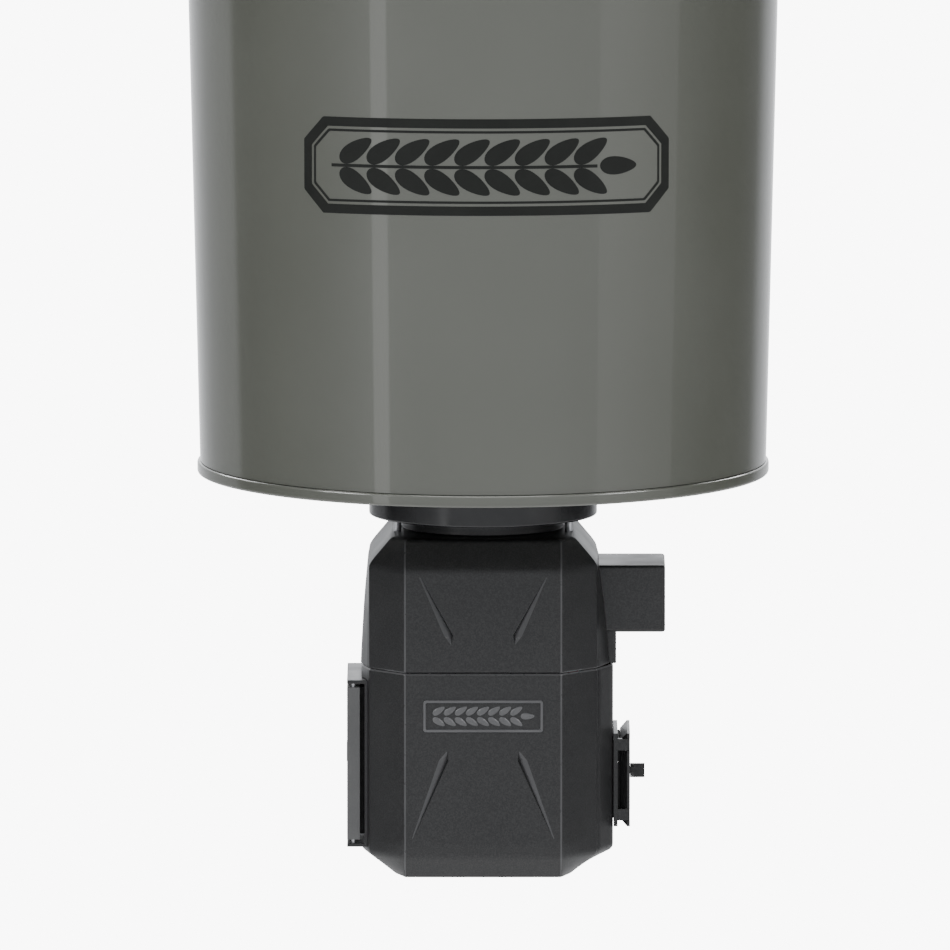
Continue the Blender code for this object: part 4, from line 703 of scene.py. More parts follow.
def grain(centre, long, short, tilt, rings=5, steps=28):
    """Grid of a grain: x = l cos a, y = s sin a (1 - 0.28 cos a), which narrows to one end."""
    angle = np.linspace(0.0, 2 * np.pi, steps, endpoint=False)[None, :]
    share = np.linspace(1.0, 0.0, rings)[:, None]
    x = share * long * np.cos(angle)
    y = share * short * np.sin(angle) * (1 - 0.28 * np.cos(angle))
    turned = (x * np.cos(tilt) - y * np.sin(tilt), x * np.sin(tilt) + y * np.cos(tilt))
    return np.stack([centre[0] + turned[0], centre[1] + turned[1]], axis=-1)


GRAIN_LEAN = math.radians(33.0)


def grain_ear(half_length, pairs, spread):
    """Centres and tilts of an ear lying along X: pairs of grains either side, one at the tip."""
    places = np.linspace(-half_length, half_length, pairs + 1)
    ear = [((x, side * spread), side * GRAIN_LEAN) for x in places[:-1] for side in (-1.0, 1.0)]
    return [*ear, ((places[-1], 0.0), 0.0)]


# %% Print the pail's badge
BADGE_Z = level(176.5)
BADGE_BOW = -0.15  # metres of rise for each square metre of width
BADGE_SHIFT = 2.2 * MM
INK = 0.12 * MM


def on_pail(flat, raised):
    """Flat (x, y) to the cone's front: angle x / r, at height y, a little proud of the wall."""
    z = BADGE_Z + flat[..., 1]
    r = pail_radius(z) + raised
    angle = (flat[..., 0] + BADGE_SHIFT) / r
    return np.stack([r * np.sin(angle), -r * np.cos(angle), z], axis=-1)


def joined(name, meshes):
    """One mesh from several."""
    work = bmesh.new()
    for mesh in meshes:
        work.from_mesh(mesh)
        bpy.data.meshes.remove(mesh)
    made = bpy.data.meshes.new(name)
    work.to_mesh(made)
    work.free()
    return made


def facing_front(mesh):
    """Turns an open sheet's faces towards -Y, so that its wall goes inwards."""
    work = bmesh.new()
    work.from_mesh(mesh)
    if sum(f.normal.y * f.calc_area() for f in work.faces) > 0:
        bmesh.ops.reverse_faces(work, faces=work.faces)
    work.to_mesh(mesh)
    work.free()
    return mesh


def inked(name, grids):
    """Flat grids, each with whether it closes on itself, laid on the pail as a thin decal."""
    meshes = [
        facing_front(grid_mesh(name, on_pail(flat, INK), around=around)) for flat, around in grids
    ]
    return thicken(new_piece(joined(name, meshes)), INK * 1.6)


def stalk_grid(start, end, width, steps=40):
    """Two straight rows along X, one each side of the middle."""
    x = start + (end - start) * np.linspace(0.0, 1.0, steps)
    return np.stack([np.column_stack([x, np.full(steps, y)]) for y in (-width / 2, width / 2)])


def pail_badge():
    """A double border round an ear of grain and its stalk."""
    half_width, half_height, cut = 101.0 * MM, 25.0 * MM, 12.0 * MM
    spacing, inset = 4.0 * MM, 6.2 * MM
    inner = (half_width - inset, half_height - inset, cut - 3.0 * MM)
    outer_strip = border_strip(half_width, half_height, cut, 4.8 * MM, spacing, BADGE_BOW)
    grids = [(outer_strip, True), (border_strip(*inner, 1.2 * MM, spacing, BADGE_BOW), True)]
    for centre, tilt in grain_ear(70.0 * MM, 9, 8.2 * MM):
        grids.append((with_bow(grain(centre, 10.5 * MM, 4.6 * MM, tilt), BADGE_BOW), True))
    grids.append((with_bow(stalk_grid(-84.0 * MM, 58.0 * MM, 1.6 * MM), BADGE_BOW), False))
    return inked("pail_badge", grids)


complete(pail_badge(), "hopper", PRINT_BLACK)

# %% [markdown]
# ## The lid
#
# The lid is pressed steel: a skirt that hooks over the rim's bead, and a panel set lower for
# stiffness, with a shallow step near its edge. A single line with a Solidify would be shorter to
# write, but its wall would pinch in the tight channel. So the upper and the lower face are both
# listed, and the closed section is turned.


# %% Press the lid
def lid_profile():
    """Panel, plug wall, channel over the bead, and skirt, as one closed sheet section."""
    sheet = WALL
    low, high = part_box("lid")
    skirt, plug = high.x, TOP_RADIUS - WALL - 1.2 * MM
    top, panel, hem = high.z, RIM - 7.0 * MM, RIM - 11.0 * MM
    over = [(0.0, panel), (plug - 30 * MM, panel), (plug - 27 * MM, panel + 1.6 * MM)]
    over += [(plug - 8 * MM, panel + 1.6 * MM), (plug - 5 * MM, panel), (plug - sheet, panel)]
    over += [(plug - sheet, top), (skirt, top), (skirt, hem)]
    under = [(skirt - sheet, hem), (skirt - sheet, top - sheet), (plug, top - sheet)]
    under += [(plug, panel - sheet), (plug - 5 * MM, panel - sheet)]
    under += [(plug - 8 * MM, panel + 0.8 * MM), (plug - 27 * MM, panel + 0.8 * MM)]
    under += [(plug - 30 * MM, panel - sheet), (0.0, panel - sheet)]
    outline = np.array(over + under)
    reach = np.full(len(outline) - 2, 1.4 * MM)
    reach[8:10] = 0.3 * MM
    return soften(outline, reach, 6)


lid = turned_piece("pail_lid", lid_profile(), 200)
complete(lid, "lid", ENAMEL)
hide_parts("lid")


# %% [markdown]
# ## The lid's gasket
#
# A soft ring sits in the lid's channel and seals on the bead. It could be a torus, but squeezed
# rubber is wider than it is tall, so a rounded rectangle is turned instead.


# %% Seat the lid's gasket
def ring_profile(node, bulge=0.35):
    """Section of a rubber ring that fills a node's box, with rounded corners."""
    low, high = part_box(node)
    wide, tall = high.x, high.z - low.z
    inner = wide - 4.0 * MM
    outline = [(inner, high.z), (wide, high.z), (wide, low.z), (inner, low.z)]
    return soften_loop(outline, min(wide - inner, tall) * bulge, 5)


gasket = turned_piece("lid_seal", ring_profile("lid_gasket"), 200)
complete(gasket, "lid", RUBBER)
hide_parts("lid_gasket")


# %% [markdown]
# ## The bail
#
# The bail is one round wire with a hooked end in each ear, wide corners and a small crown that
# finds the middle of a branch or hook. A curve with a round bevel would make it too. Here its
# middle line is a list of arcs, and a circle is carried along it, so both hooks stay exact.


# %% Bend the bail
def capped(points):
    """Rows of points with a row at each end drawn to the end section's middle, as a closed cap."""
    ends = [np.repeat(points[i].mean(axis=0)[None, None], points.shape[1], axis=1) for i in (0, -1)]
    return np.concatenate([ends[0], points, ends[1]])


def carried(name, path, radius, sides=20):
    """A circle carried along a path in a plane of constant Y.

    At each point p the circle lies across the direction of travel: p + r (cos a n + sin a b),
    with n and b the two directions at right angles to it.
    """
    path = np.asarray(path, float)
    ahead = np.gradient(path, axis=0)
    ahead /= np.linalg.norm(ahead, axis=1, keepdims=True)
    side = np.cross(ahead, np.array([0.0, 1.0, 0.0]) + 1e-6)
    side /= np.linalg.norm(side, axis=1, keepdims=True)
    up = np.cross(side, ahead)
    angle = np.linspace(0.0, 2 * np.pi, sides, endpoint=False)[None, :, None]
    points = path[:, None] + radius * (np.cos(angle) * side[:, None] + np.sin(angle) * up[:, None])
    return new_piece(grid_mesh(name, capped(points), around=True))


def arc(centre, radius, start, end, steps):
    """Points of a circular arc, angles in degrees."""
    a = np.radians(np.linspace(start, end, steps))
    return np.column_stack([centre[0] + radius * np.cos(a), centre[1] + radius * np.sin(a)])


WIRE = 2.5 * MM
BAIL_LOW, BAIL_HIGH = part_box("bail_wire")
PIVOT_Z = BAIL_LOW.z + WIRE


def bail_path():
    """Half of the bail in (x, z): hook, leg, wide corner, shoulder and crown, then mirrored."""
    leg = BAIL_HIGH.x - WIRE
    end = pail_radius(PIVOT_Z) + 3.1 * MM
    crown, crown_z = 11.0 * MM, WIRE - 11.0 * MM
    corner, corner_z = 60.0 * MM, WIRE - 75.0 * MM
    bend = 4.6 * MM
    runs = [
        np.array([[end, PIVOT_Z], [end + 3.0 * MM, PIVOT_Z]]),
        arc((leg - bend, PIVOT_Z + bend), bend, -90, 0, 12),
        arc((leg - corner, corner_z), corner, 0, 84, 40),
        arc((2.6 * crown, crown_z + 5.0 * MM), 5.0 * MM, 280, 225, 8),
        arc((0.0, crown_z), crown, 40, 90, 14),
    ]
    half = np.vstack(runs)
    flat = np.vstack([half, half[:-1][::-1] * np.array([-1.0, 1.0])])
    return np.column_stack([flat[:, 0], np.zeros(len(flat)), flat[:, 1]])


bail = carried("bail", bail_path(), WIRE, sides=24)
complete(bail, "bail", ZINC, 50.0)
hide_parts("bail_wire")

# %% [markdown]
# ## Turned fasteners
#
# Rivets, bolts, screws and posts are small, but a flat-sided one spoils a close view. A smooth
# shading would hide the flats and not the outline. So each gets the same outline as its packed
# node, turned finely, with softened edges.


# %% Turn the small round parts
def node_centre(node):
    """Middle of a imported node's box."""
    low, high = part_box(node)
    return (np.array(low) + np.array(high)) / 2


def stepped_rod(sections):
    """Outline of a stepped rod from (radius, start, end) sections, bottom to top."""
    outline = [(0.0, sections[0][1])]
    for radius, start, end in sections:
        outline += [(radius, start), (radius, end)]
    return np.array([*outline, (0.0, sections[-1][2])])


def fastener(name, node, sections, body, material, axis="Z", soft=0.3, steps=40):
    """A stepped rod on a node's own axis, replacing it."""
    middle = node_centre(node)
    centre = {"Z": (middle[0], middle[1], 0.0), "X": (0.0, middle[1], middle[2])}[axis]
    outline = soften(stepped_rod(sections), soft * MM, 4)
    made = turned_piece(name, outline, steps, axis, centre)
    complete(made, body, material)
    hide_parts(node)


SHANK = 2.0 * MM
HEAD_HEIGHT = 2.2 * MM


def turn_screw(node, head, body):
    """A cylinder head with its shank above it."""
    low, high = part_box(node)
    under_head = low.z + HEAD_HEIGHT
    parts = [(head, low.z, under_head), (SHANK, under_head, high.z)]
    fastener(f"{node}_turned", node, parts, body, ZINC)


def turn_rivet(node, head=4.08 * MM, shank=2.4 * MM, head_height=1.4 * MM):
    """A rivet along X, with the same soft head at both ends."""
    low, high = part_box(node)
    near, far = low.x + head_height, high.x - head_height
    parts = [(head, low.x, near), (shank, near, far), (head, far, high.x)]
    fastener(f"{node}_turned", node, parts, "hopper", ZINC, "X", 0.6)


for number in range(1, 4):
    turn_screw(f"flange_bolt_{number}", 2.8 * MM, "hopper")
for number in range(1, 5):
    turn_screw(f"housing_screw_{number}", 3.5 * MM, "kit")
for side in ("left", "right"):
    for place in ("upper", "lower"):
        turn_rivet(f"ear_rivet_{side}_{place}")

# %% [markdown]
# ## The collar
#
# The collar twists on to the pail's outlet. It is a plain moulded ring with a glossy outside and
# three lugs inside, which hook under the flange. The ring is turned. A lug could be cut from a
# block with a Boolean, but a small section carried round the axis gives cleaner faces.

# %% Turn the collar
COLLAR_LOW, COLLAR_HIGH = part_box("mounting_collar")
COLLAR_WALL = 3.0 * MM
COLLAR_FLOOR = 2.5 * MM
COLLAR_HOLE = 43.0 * MM
LUG_SECTION = (50.0 * MM, COLLAR_HIGH.x - 2.0 * MM, level(-10.7), level(-7.7))
LUG_HALF_ANGLE = math.radians(14.0)


def make_collar_plastic():
    """The same black plastic as the housing, but polished."""
    made = Finish("polished_black", (0.017, 0.017, 0.018), 0.2)
    made.colours(made.spread(made.noise(40.0), 0, 1), (0.014, 0.014, 0.015), (0.02, 0.02, 0.021))
    made.roughness(made.spread(made.noise(150.0, 5.0), 0.16, 0.26))
    made.bump(made.noise(40.0, 1.0), 0.0002, 0.25)
    return made.material


POLISHED_BLACK = make_collar_plastic()


def collar_profile():
    """Outer wall, floor and inner wall of the collar's ring."""
    out = COLLAR_HIGH.x
    inner, hole = out - COLLAR_WALL, COLLAR_HOLE
    low, high = COLLAR_LOW.z, COLLAR_HIGH.z
    floor = low + COLLAR_FLOOR
    outline = [(inner, high), (out, high), (out, low), (hole, low), (hole, floor), (inner, floor)]
    return soften_loop(outline, np.array([0.5, 0.8, 1.2, 0.5, 0.5, 1.0]) * MM, 6)


def lug_mesh(middle):
    """A lug: a soft rectangle (r, z) carried round the axis, r cos a, r sin a, z."""
    inner, outer, low, high = LUG_SECTION
    angle = middle + np.linspace(-LUG_HALF_ANGLE, LUG_HALF_ANGLE, 24)
    corners = [(inner, low), (outer, low), (outer, high), (inner, high)]
    section = soften_loop(corners, 0.4 * MM, 4)
    r, z = section[None, :, 0], section[None, :, 1]
    a = angle[:, None]
    points = np.stack([r * np.cos(a), r * np.sin(a), z + 0 * a], axis=-1)
    return grid_mesh("lug", capped(points), around=True)


def collar_meshes():
    """The turned ring and its three lugs, a third of a turn apart."""
    ring = grid_mesh("ring", turned_points(collar_profile(), 200), around=True, along=True)
    return [ring, *(lug_mesh(math.pi / 2 + i * 2 * math.pi / 3) for i in range(3))]


collar = new_piece(joined("collar", collar_meshes()))
complete(collar, "kit", POLISHED_BLACK)
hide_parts("mounting_collar")

# %% [markdown]
# ## The posts
#
# Four short studs hold the housing a few millimetres under the collar, each with a washer below
# the collar's floor and a head above it. They are stepped rods, like the other fasteners.

# %% Turn the posts
WASHER_TOP = COLLAR_LOW.z - 0.3 * MM
WASHER_FOOT = WASHER_TOP - 1.2 * MM

for number in range(1, 5):
    node = f"standoff_post_{number}"
    low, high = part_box(node)
    parts = [
        (SHANK, low.z, WASHER_FOOT),
        (3.6 * MM, WASHER_FOOT, WASHER_TOP),
        (SHANK, WASHER_TOP, high.z - HEAD_HEIGHT),
        (3.5 * MM, high.z - HEAD_HEIGHT, high.z),
    ]
    fastener(f"{node}_turned", node, parts, "kit", ZINC)

# %% [markdown]
# ## The housing's shells
#
# Each half of the housing could start as a box that is bevelled, cut and extruded, but its sides
# swell and its front leans. It is one idea instead: a ring seen from above, carried up through a
# list of levels. The ring has a flat front and back, cut corners, and sides that swell in the
# middle. A level says how deep and wide the ring is there, how far each side swells, and how far
# the ring has turned into a circle, which makes the roof run into the round neck and the floor
# close up.

# %% Add levels between levels
SHELL_WALL = 2.5 * MM
FRONT = 40.6 * MM  # half width of the front and back panels
FLANK = 42.0 * MM  # half depth of the sides
EDGE = 0.9 * MM  # reach of each rounded upright edge
BLEND = 8.0 * MM  # what turning into a circle counts for, as a distance


def fine_levels(levels, reach, step, cuts=()):
    """Softens the corners of a list of levels and adds more between them.

    A level is (height, depth, side, left swell, right swell, blend, circle radius). Distances
    are measured along all of them together, so a corner in any one of them is softened.
    """
    levels = np.array(levels, float) * MM
    levels[:, 5] *= BLEND / MM
    curve = soften(levels, np.array(reach) * MM, 6)
    run = np.concatenate([[0.0], np.cumsum(np.linalg.norm(np.diff(curve, axis=0), axis=1))])
    rising = np.concatenate([[True], np.diff(curve[:, 0]) > 1e-9])
    wanted = np.interp(np.array(cuts, float), curve[rising, 0], run[rising])
    steady = np.arange(0.0, run[-1], step * MM)
    apart = np.abs(steady[:, None] - np.concatenate([run, wanted])[None, :]).min(axis=1)
    at = np.unique(np.concatenate([run, wanted, steady[apart > 0.3 * step * MM]]))
    rows = np.column_stack([np.interp(at, run, curve[:, k]) for k in range(7)])
    rows[:, 0] += FOOT
    rows[:, 5] /= BLEND
    return rows


# %% Carry a ring through the levels
SWELL_RUN = 18.0 * MM
FRONT_SIDE, RIGHT_SIDE, BACK_SIDE, LEFT_SIDE = 7, 1, 3, 5  # the ring's straight runs


def side_places(cuts):
    """Places along a side, from front to back, with the edges of its opening among them."""
    steady = np.linspace(-FLANK + EDGE + MM, FLANK - EDGE - MM, 30)
    cuts = np.array(cuts)
    apart = np.abs(steady[:, None] - cuts[None, :]).min(axis=1)
    return np.sort(np.concatenate([steady[apart > 1.0 * MM], cuts]))


def rounded_corners(depth, side):
    """Curves (levels, corners, steps, xy) at the ring's eight corners, from the front right."""
    front, flank = np.full_like(depth, FRONT), np.full_like(depth, FLANK)
    right = [(front, -depth), (side, -flank), (side, flank), (front, depth)]
    left = [(-x, y) for x, y in right[::-1]]
    corners = np.stack([np.stack(corner, axis=-1) for corner in right + left], axis=1)

    def toward(neighbour):
        run = neighbour - corners
        return (corners + run * (EDGE / np.linalg.norm(run, axis=2, keepdims=True)))[:, :, None]

    a, b = toward(np.roll(corners, 1, axis=1)), toward(np.roll(corners, -1, axis=1))
    t = np.linspace(0.0, 1.0, 6)[None, None, :, None]
    return (1 - t) ** 2 * a + 2 * t * (1 - t) * corners[:, :, None] + t**2 * b


def side_fill(start, end, y, amount):
    """A side's columns at places y. The swell grows evenly over each end's run and is then full."""
    share = (y[None, :] - start[:, 1:2]) / (end - start)[:, 1:2]
    fill = start[:, None] + share[..., None] * (end - start)[:, None]
    swell = np.clip((FLANK - np.abs(fill[..., 1])) / SWELL_RUN, 0.0, 1.0)
    fill[..., 0] += amount[:, None] * swell
    return fill


def housing_grid(rows, right_cuts, left_cuts, groove):
    """Points of a shell: one ring of columns for each level.

    The ring has eight corners, each rounded by the curve (1-t)^2 a + 2t(1-t) c + t^2 b, with
    straight runs between them. In front, the columns lean along the grooves. The whole ring p
    then moves towards its circle q: p + blend (q - p).
    """
    z, depth, side, left, right, blend, circle = rows.T
    bends = rounded_corners(depth, side)
    ring = []
    for i in range(8):
        ring.append(bends[:, i])
        start, end = bends[:, i, -1], bends[:, (i + 1) % 8, 0]
        if i == RIGHT_SIDE:
            fill = side_fill(start, end, side_places(right_cuts), right)
        elif i == LEFT_SIDE:
            fill = side_fill(start, end, side_places(left_cuts)[::-1], -left)
        elif i == FRONT_SIDE:
            fill = front_fill(rows, groove, start, end)
        else:
            share = np.linspace(0.0, 1.0, 20 if i == BACK_SIDE else 8)[None, 1:-1, None]
            fill = start[:, None] + share * (end - start)[:, None]
        ring.append(fill)
    ring = np.concatenate(ring, axis=1)
    angle = np.arctan2(ring[..., 1], ring[..., 0])
    disc = circle[:, None, None] * np.stack([np.cos(angle), np.sin(angle)], axis=-1)
    ring = ring + blend[:, None, None] * (disc - ring)
    return np.concatenate([ring, np.repeat(z[:, None, None], ring.shape[1], axis=1)], axis=2)


def front_fill(rows, groove, start, end):
    """Columns of the front panel: three follow each groove, and the middle one is pushed in."""
    height = (rows[:, 0] - FOOT) / MM
    middle, half, deep = (np.interp(height, groove[:, 0], groove[:, k]) * MM for k in (1, 2, 3))
    knots = [start[:, 0], -middle - half, -middle + 0.7 * half, -middle + half]
    knots += [middle - half, middle - 0.7 * half, middle + half, end[:, 0]]
    counts = [8, 1, 1, 22, 1, 1, 8]
    x, push = [], []
    for i, count in enumerate(counts):
        share = np.linspace(0.0, 1.0, count + 1)[None, :-1]
        run = knots[i][:, None] + share * (knots[i + 1] - knots[i])[:, None]
        x.append(run if i else run[:, 1:])
        push.append(np.repeat(deep[:, None] * (i in (2, 5)), count if i else count - 1, axis=1))
    x, push = np.hstack(x), np.hstack(push)
    return np.stack([x, start[:, 1:2] + push], axis=-1)


# %% Open, bore and join the shells
BESIDE = 45.0 * MM  # an opening is in a side wall, so it lies farther out than this


def open_mask(points, openings):
    """Quads to keep: all but those whose middle lies in an opening (side, y span, z span)."""
    rolled = np.roll(points, -1, axis=1)
    middle = (points[:-1] + points[1:] + rolled[:-1] + rolled[1:]) / 4
    keep = np.ones(middle.shape[:2], bool)
    for side, (near, far), (low, high) in openings:
        x, y, z = middle[..., 0] * side, middle[..., 1], middle[..., 2]
        keep &= ~((x > BESIDE) & (y > near) & (y < far) & (z > low) & (z < high))
    return keep


def bored_tube(place, low, high, outer, inner):
    """A screw column: a tube standing at (x, y), between two heights from the pail's foot."""
    low, high = level(low), level(high)
    outline = soften_loop([(inner, low), (outer, low), (outer, high), (inner, high)], 0.2 * MM, 3)
    points = turned_points(outline, 32, "Z", (place[0] * MM, place[1] * MM, 0.0))
    return grid_mesh("column", points, around=True, along=True)


def bore_hole(shell, place, low, high, radius):
    """Cuts a round hole through a shell's floor."""
    outline = [(0.0, level(low)), (radius, level(low)), (radius, level(high)), (0.0, level(high))]
    tool = turned_piece("tool", outline, 32, "Z", (place[0] * MM, place[1] * MM, 0.0))
    change = shell.modifiers.new("hole", "BOOLEAN")
    change.operation = "DIFFERENCE"
    change.solver = "EXACT"
    change.object = tool
    settle(shell)
    bpy.data.objects.remove(tool)


def with_columns(shell, tubes):
    """Adds the screw columns to a shell's mesh."""
    shell.data = joined(shell.name, [*tubes, shell.data.copy()])
    return shell


# %% [markdown]
# ## The upper half
#
# The upper half leans in towards its roof, has the chute's window in its right side, and has two
# tapering grooves pressed into its front. The grooves could be cut with a Boolean, but then the
# front would lose its even faces: here the front's own columns run along them. Inside stand the
# columns that the screws bite into.

# %% Mould the upper half
UPPER_LOW, UPPER_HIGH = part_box("upper_housing")
COLUMN_PLACES = [(33.0, 47.5), (-33.0, 47.5), (-33.0, -47.5), (33.0, -47.5)]
POST_PLACES = [(x, y) for x in (44.5, -44.5) for y in (18.0, -18.0)]
BOSS, PILOT = 4.5 * MM, 2.3 * MM
CHUTE_WINDOW = (-25.3 * MM, 25.3 * MM)
UPPER_GROOVE = np.array([  # height, distance from the middle, half width, depth
    (-98.0, 17.0, 0.3, 0.0),
    (-82.8, 16.6, 0.3, 0.0),
    (-78.0, 18.0, 2.4, 2.0),
    (-47.8, 32.8, 0.35, 0.12),
    (-47.2, 33.0, 0.3, 0.0),
    (-29.0, 33.0, 0.3, 0.0),
])


def make_upper_shell():
    """Straight sides, a leaning front, soft shoulders, a flat roof and the round neck."""
    low = (UPPER_LOW.z - FOOT) / MM
    neck_top = (UPPER_HIGH.z - FOOT) / MM
    levels = [
        (low, 60.3, 58.6, 4.3, 6.8, 0, 41.6),
        (low + 0.6, 61.0, 59.3, 4.3, 6.8, 0, 41.6),
        (-69.0, 61.0, 59.3, 2.7, 4.2, 0, 41.6),
        (-46.0, 61.0, 59.3, 0.6, 0.9, 0, 41.6),
        (-43.0, 60.2, 59.1, 0.0, 0.0, 0, 41.6),
        (-29.0, 53.0, 47.3, 0.0, 0.0, 0, 41.6),
        (-29.0, 53.0, 47.3, 0.0, 0.0, 1, 41.6),
        (neck_top, 53.0, 47.3, 0.0, 0.0, 1, 41.6),
    ]
    window = [level(-81.8), level(-46.2)]
    cuts = [*(np.array(window) - FOOT), *(UPPER_GROOVE[1:5, 0] * MM)]
    rows = fine_levels(levels, [0.3, 8.0, 0.9, 6.0, 2.2, 0.8], 1.6, cuts)
    points = housing_grid(rows, CHUTE_WINDOW, CHUTE_WINDOW, UPPER_GROOVE)
    keep = open_mask(points, [(1, CHUTE_WINDOW, window)])
    shell = new_piece(grid_mesh("upper_shell", points, around=True, keep=keep))
    thicken(shell, SHELL_WALL)
    tubes = [bored_tube(place, -94.7, -72.7, BOSS, PILOT) for place in COLUMN_PLACES]
    tubes += [bored_tube(place, -41.0, -31.4, BOSS, PILOT) for place in POST_PLACES]
    return with_columns(shell, tubes)


# %% [markdown]
# ## Facets and edges
#
# A mould is polished where it is hard to reach with the spark texture: in the grooves, along the
# panels' edges and round the parting rim. Those faces get a smoother finish, and a lighter grey
# that is a painted highlight where they would catch the light. They could be painted by hand,
# but their place and the way they face pick them out by rule.

# %% Give the facets and edges their finishes and painted highlights
# Both greys are lighter than the black shell: a painted highlight, on smoother faces.
FACET_PAINTED_HIGHLIGHT = make_plain("facet_painted_highlight", (0.05, 0.05, 0.052), 0.34, 0.1, 1300.0, 0.00003)
EDGE_PAINTED_HIGHLIGHT = make_plain("edge_painted_highlight", (0.06, 0.06, 0.062), 0.3, 0.1, 1300.0, 0.00003)


PANEL_EDGE = 39.0 * MM


def paint_highlights(shell, rim_z):
    """Gives the grooves' wide facets and the panel's rounded edges smoother finishes and a painted
    highlight.
    """
    faces = shell.data.polygons
    normal, centre = np.empty(len(faces) * 3), np.empty(len(faces) * 3)
    faces.foreach_get("normal", normal)
    faces.foreach_get("center", centre)
    normal, centre = normal.reshape(-1, 3), centre.reshape(-1, 3)
    x, y, z = np.abs(centre[:, 0]), centre[:, 1], centre[:, 2]
    across, ahead, up = np.abs(normal[:, 0]), normal[:, 1], normal[:, 2]
    panel = (y < -58 * MM) & (x < PANEL_EDGE) & (z < level(-46.5)) & (z > level(-186.0))
    facet = panel & (across > 0.12) & (across < 0.7) & (ahead < -0.5)
    edge = (y < -50 * MM) & (x > PANEL_EDGE) & (across > 0.1) & (across < 0.6) & (ahead < 0)
    rim = (np.abs(z - rim_z) < EDGE) & (up > 0.2) & (up < 0.95)
    # The lighter greys on the facets, edges and upward rim faces are painted highlights.
    shell.data.materials.append(FACET_PAINTED_HIGHLIGHT)
    shell.data.materials.append(EDGE_PAINTED_HIGHLIGHT)
    faces.foreach_set("material_index", (facet * 1 + (edge | rim) * 2).astype(np.int32))
    print(f"{shell.name}: {facet.sum()} facets, {edge.sum()} edge faces, {rim.sum()} on the rim")


upper = complete(make_upper_shell(), "kit", SHELL_BLACK)
paint_highlights(upper, 0.0)
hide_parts("upper_housing")

# %% [markdown]
# ## The lower half
#
# The lower half is the same ring with other levels: a floor that closes at its middle, a bevel,
# and nearly straight sides. Both sides have a door's opening. Four long columns run down to
# holes in the floor, so that the screws go up through them into the upper half.

# %% Mould the lower half
COLUMN, COUNTERBORE = 5.5 * MM, 3.8 * MM
BATTERY_OPENING = (-38.3 * MM, 28.8 * MM)
TIMER_OPENING = (-21.3 * MM, 21.3 * MM)
LOWER_GROOVE = np.array([  # height, distance from the middle, half width, depth
    (-206.0, 36.8, 0.3, 0.0),
    (-185.0, 36.8, 0.3, 0.0),
    (-184.4, 36.6, 0.35, 0.12),
    (-143.6, 20.4, 2.5, 2.0),
    (-139.0, 18.8, 0.3, 0.0),
    (-98.0, 19.0, 0.3, 0.0),
])


def make_lower_shell():
    """A floor that closes at its middle, a bevel, and straight sides up to the parting line."""
    top = (UNIT_HIGH.z - FOOT) / MM
    levels = [
        (-205.7, 55.0, 45.0, 0.0, 0.0, 1, 0.0),
        (-205.7, 55.0, 45.0, 0.0, 0.0, 1, 10.0),
        (-205.7, 55.0, 45.0, 0.0, 0.0, 0, 40.0),
        (-194.7, 60.2, 59.3, 3.9, 8.3, 0, 41.6),
        (-187.7, 61.0, 59.3, 3.9, 8.3, 0, 41.6),
        (top - 0.9, 61.0, 59.3, 3.9, 8.3, 0, 41.6),
        (top, 60.2, 58.5, 3.9, 8.3, 0, 41.6),
    ]
    battery_span = [level(-192.5), level(-104.5)]
    timer_span = [level(-179.6), level(-138.2)]
    cuts = [*(np.array(battery_span + timer_span) - FOOT), *(LOWER_GROOVE[1:5, 0] * MM)]
    rows = fine_levels(levels, [1.0, 1.2, 2.4, 2.0, 0.3], 1.8, cuts)
    points = housing_grid(rows, TIMER_OPENING, BATTERY_OPENING, LOWER_GROOVE)
    openings = [(-1, BATTERY_OPENING, battery_span), (1, TIMER_OPENING, timer_span)]
    keep = open_mask(points, openings)
    shell = new_piece(grid_mesh("lower_shell", points, around=True, keep=keep))
    thicken(shell, SHELL_WALL)
    for place in COLUMN_PLACES:
        bore_hole(shell, place, -210.0, -200.0, COUNTERBORE)
    tubes = []
    for place in COLUMN_PLACES:
        tubes.append(bored_tube(place, -205.6, -112.15, COLUMN, COUNTERBORE))
        tubes.append(bored_tube(place, -112.1, top, COLUMN, PILOT))
    return with_columns(shell, tubes)


lower = complete(make_lower_shell(), "kit", SHELL_BLACK)
paint_highlights(lower, UNIT_HIGH.z)
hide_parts("lower_housing")

# %% [markdown]
# ## The housing's plate
#
# A raised plate with a border stands on the lower front. It carries the same ear of grain as the
# badge, as low domes. A bump could fake it, but a real relief catches the light along its edges.


# %% Raise the plate
PLATE_Z = level(-120.4)
PLATE_FACE = -61.0 * MM


def on_plate(flat, proud):
    """Flat (x, y) to the lower shell's front panel, standing proud of it."""
    x, z = flat[..., 0], PLATE_Z + flat[..., 1]
    return np.stack([x, PLATE_FACE - proud + 0 * x, z], axis=-1)


def plate_ring(half_width, half_height, width, proud):
    """A raised border with sloping edges, as rows from its inner foot to its outer foot."""
    slope, sunk = 0.35 * MM, -0.3 * MM
    rows = []
    for gap, up in [(-width, sunk), (-width + slope, proud), (-slope, proud), (0.0, sunk)]:
        outline = divided(cut_corner_outline(half_width, half_height, MM, gap), MM)
        rows.append(on_plate(resample(outline, 240), up))
    return grid_mesh("plate_border", np.stack(rows), around=True, along=True)


def plate_grain(centre, tilt):
    """A low oval dome: height h sqrt(1 - r^2), closed behind."""
    flat = grain(centre, 3.7 * MM, 1.65 * MM, tilt, 6, 28)
    share = np.linspace(1.0, 0.0, 6)[:, None]
    lift = 0.65 * MM * np.sqrt(np.clip(1 - share**2, 0.0, 1.0)) * np.ones((1, 28))
    dome = on_plate(flat, lift - 0.05 * MM)
    back = on_plate(flat[::-1], -0.4 * MM + 0 * lift)
    return grid_mesh("plate_grain", np.concatenate([back, dome]), around=True)


def make_plate():
    """The border and an ear of grain inside it, as one piece."""
    parts = [plate_ring(31.2 * MM, 8.5 * MM, 1.7 * MM, 0.55 * MM)]
    parts += [plate_grain(*one) for one in grain_ear(23.0 * MM, 8, 2.9 * MM)]
    return new_piece(joined("front_plate", parts))


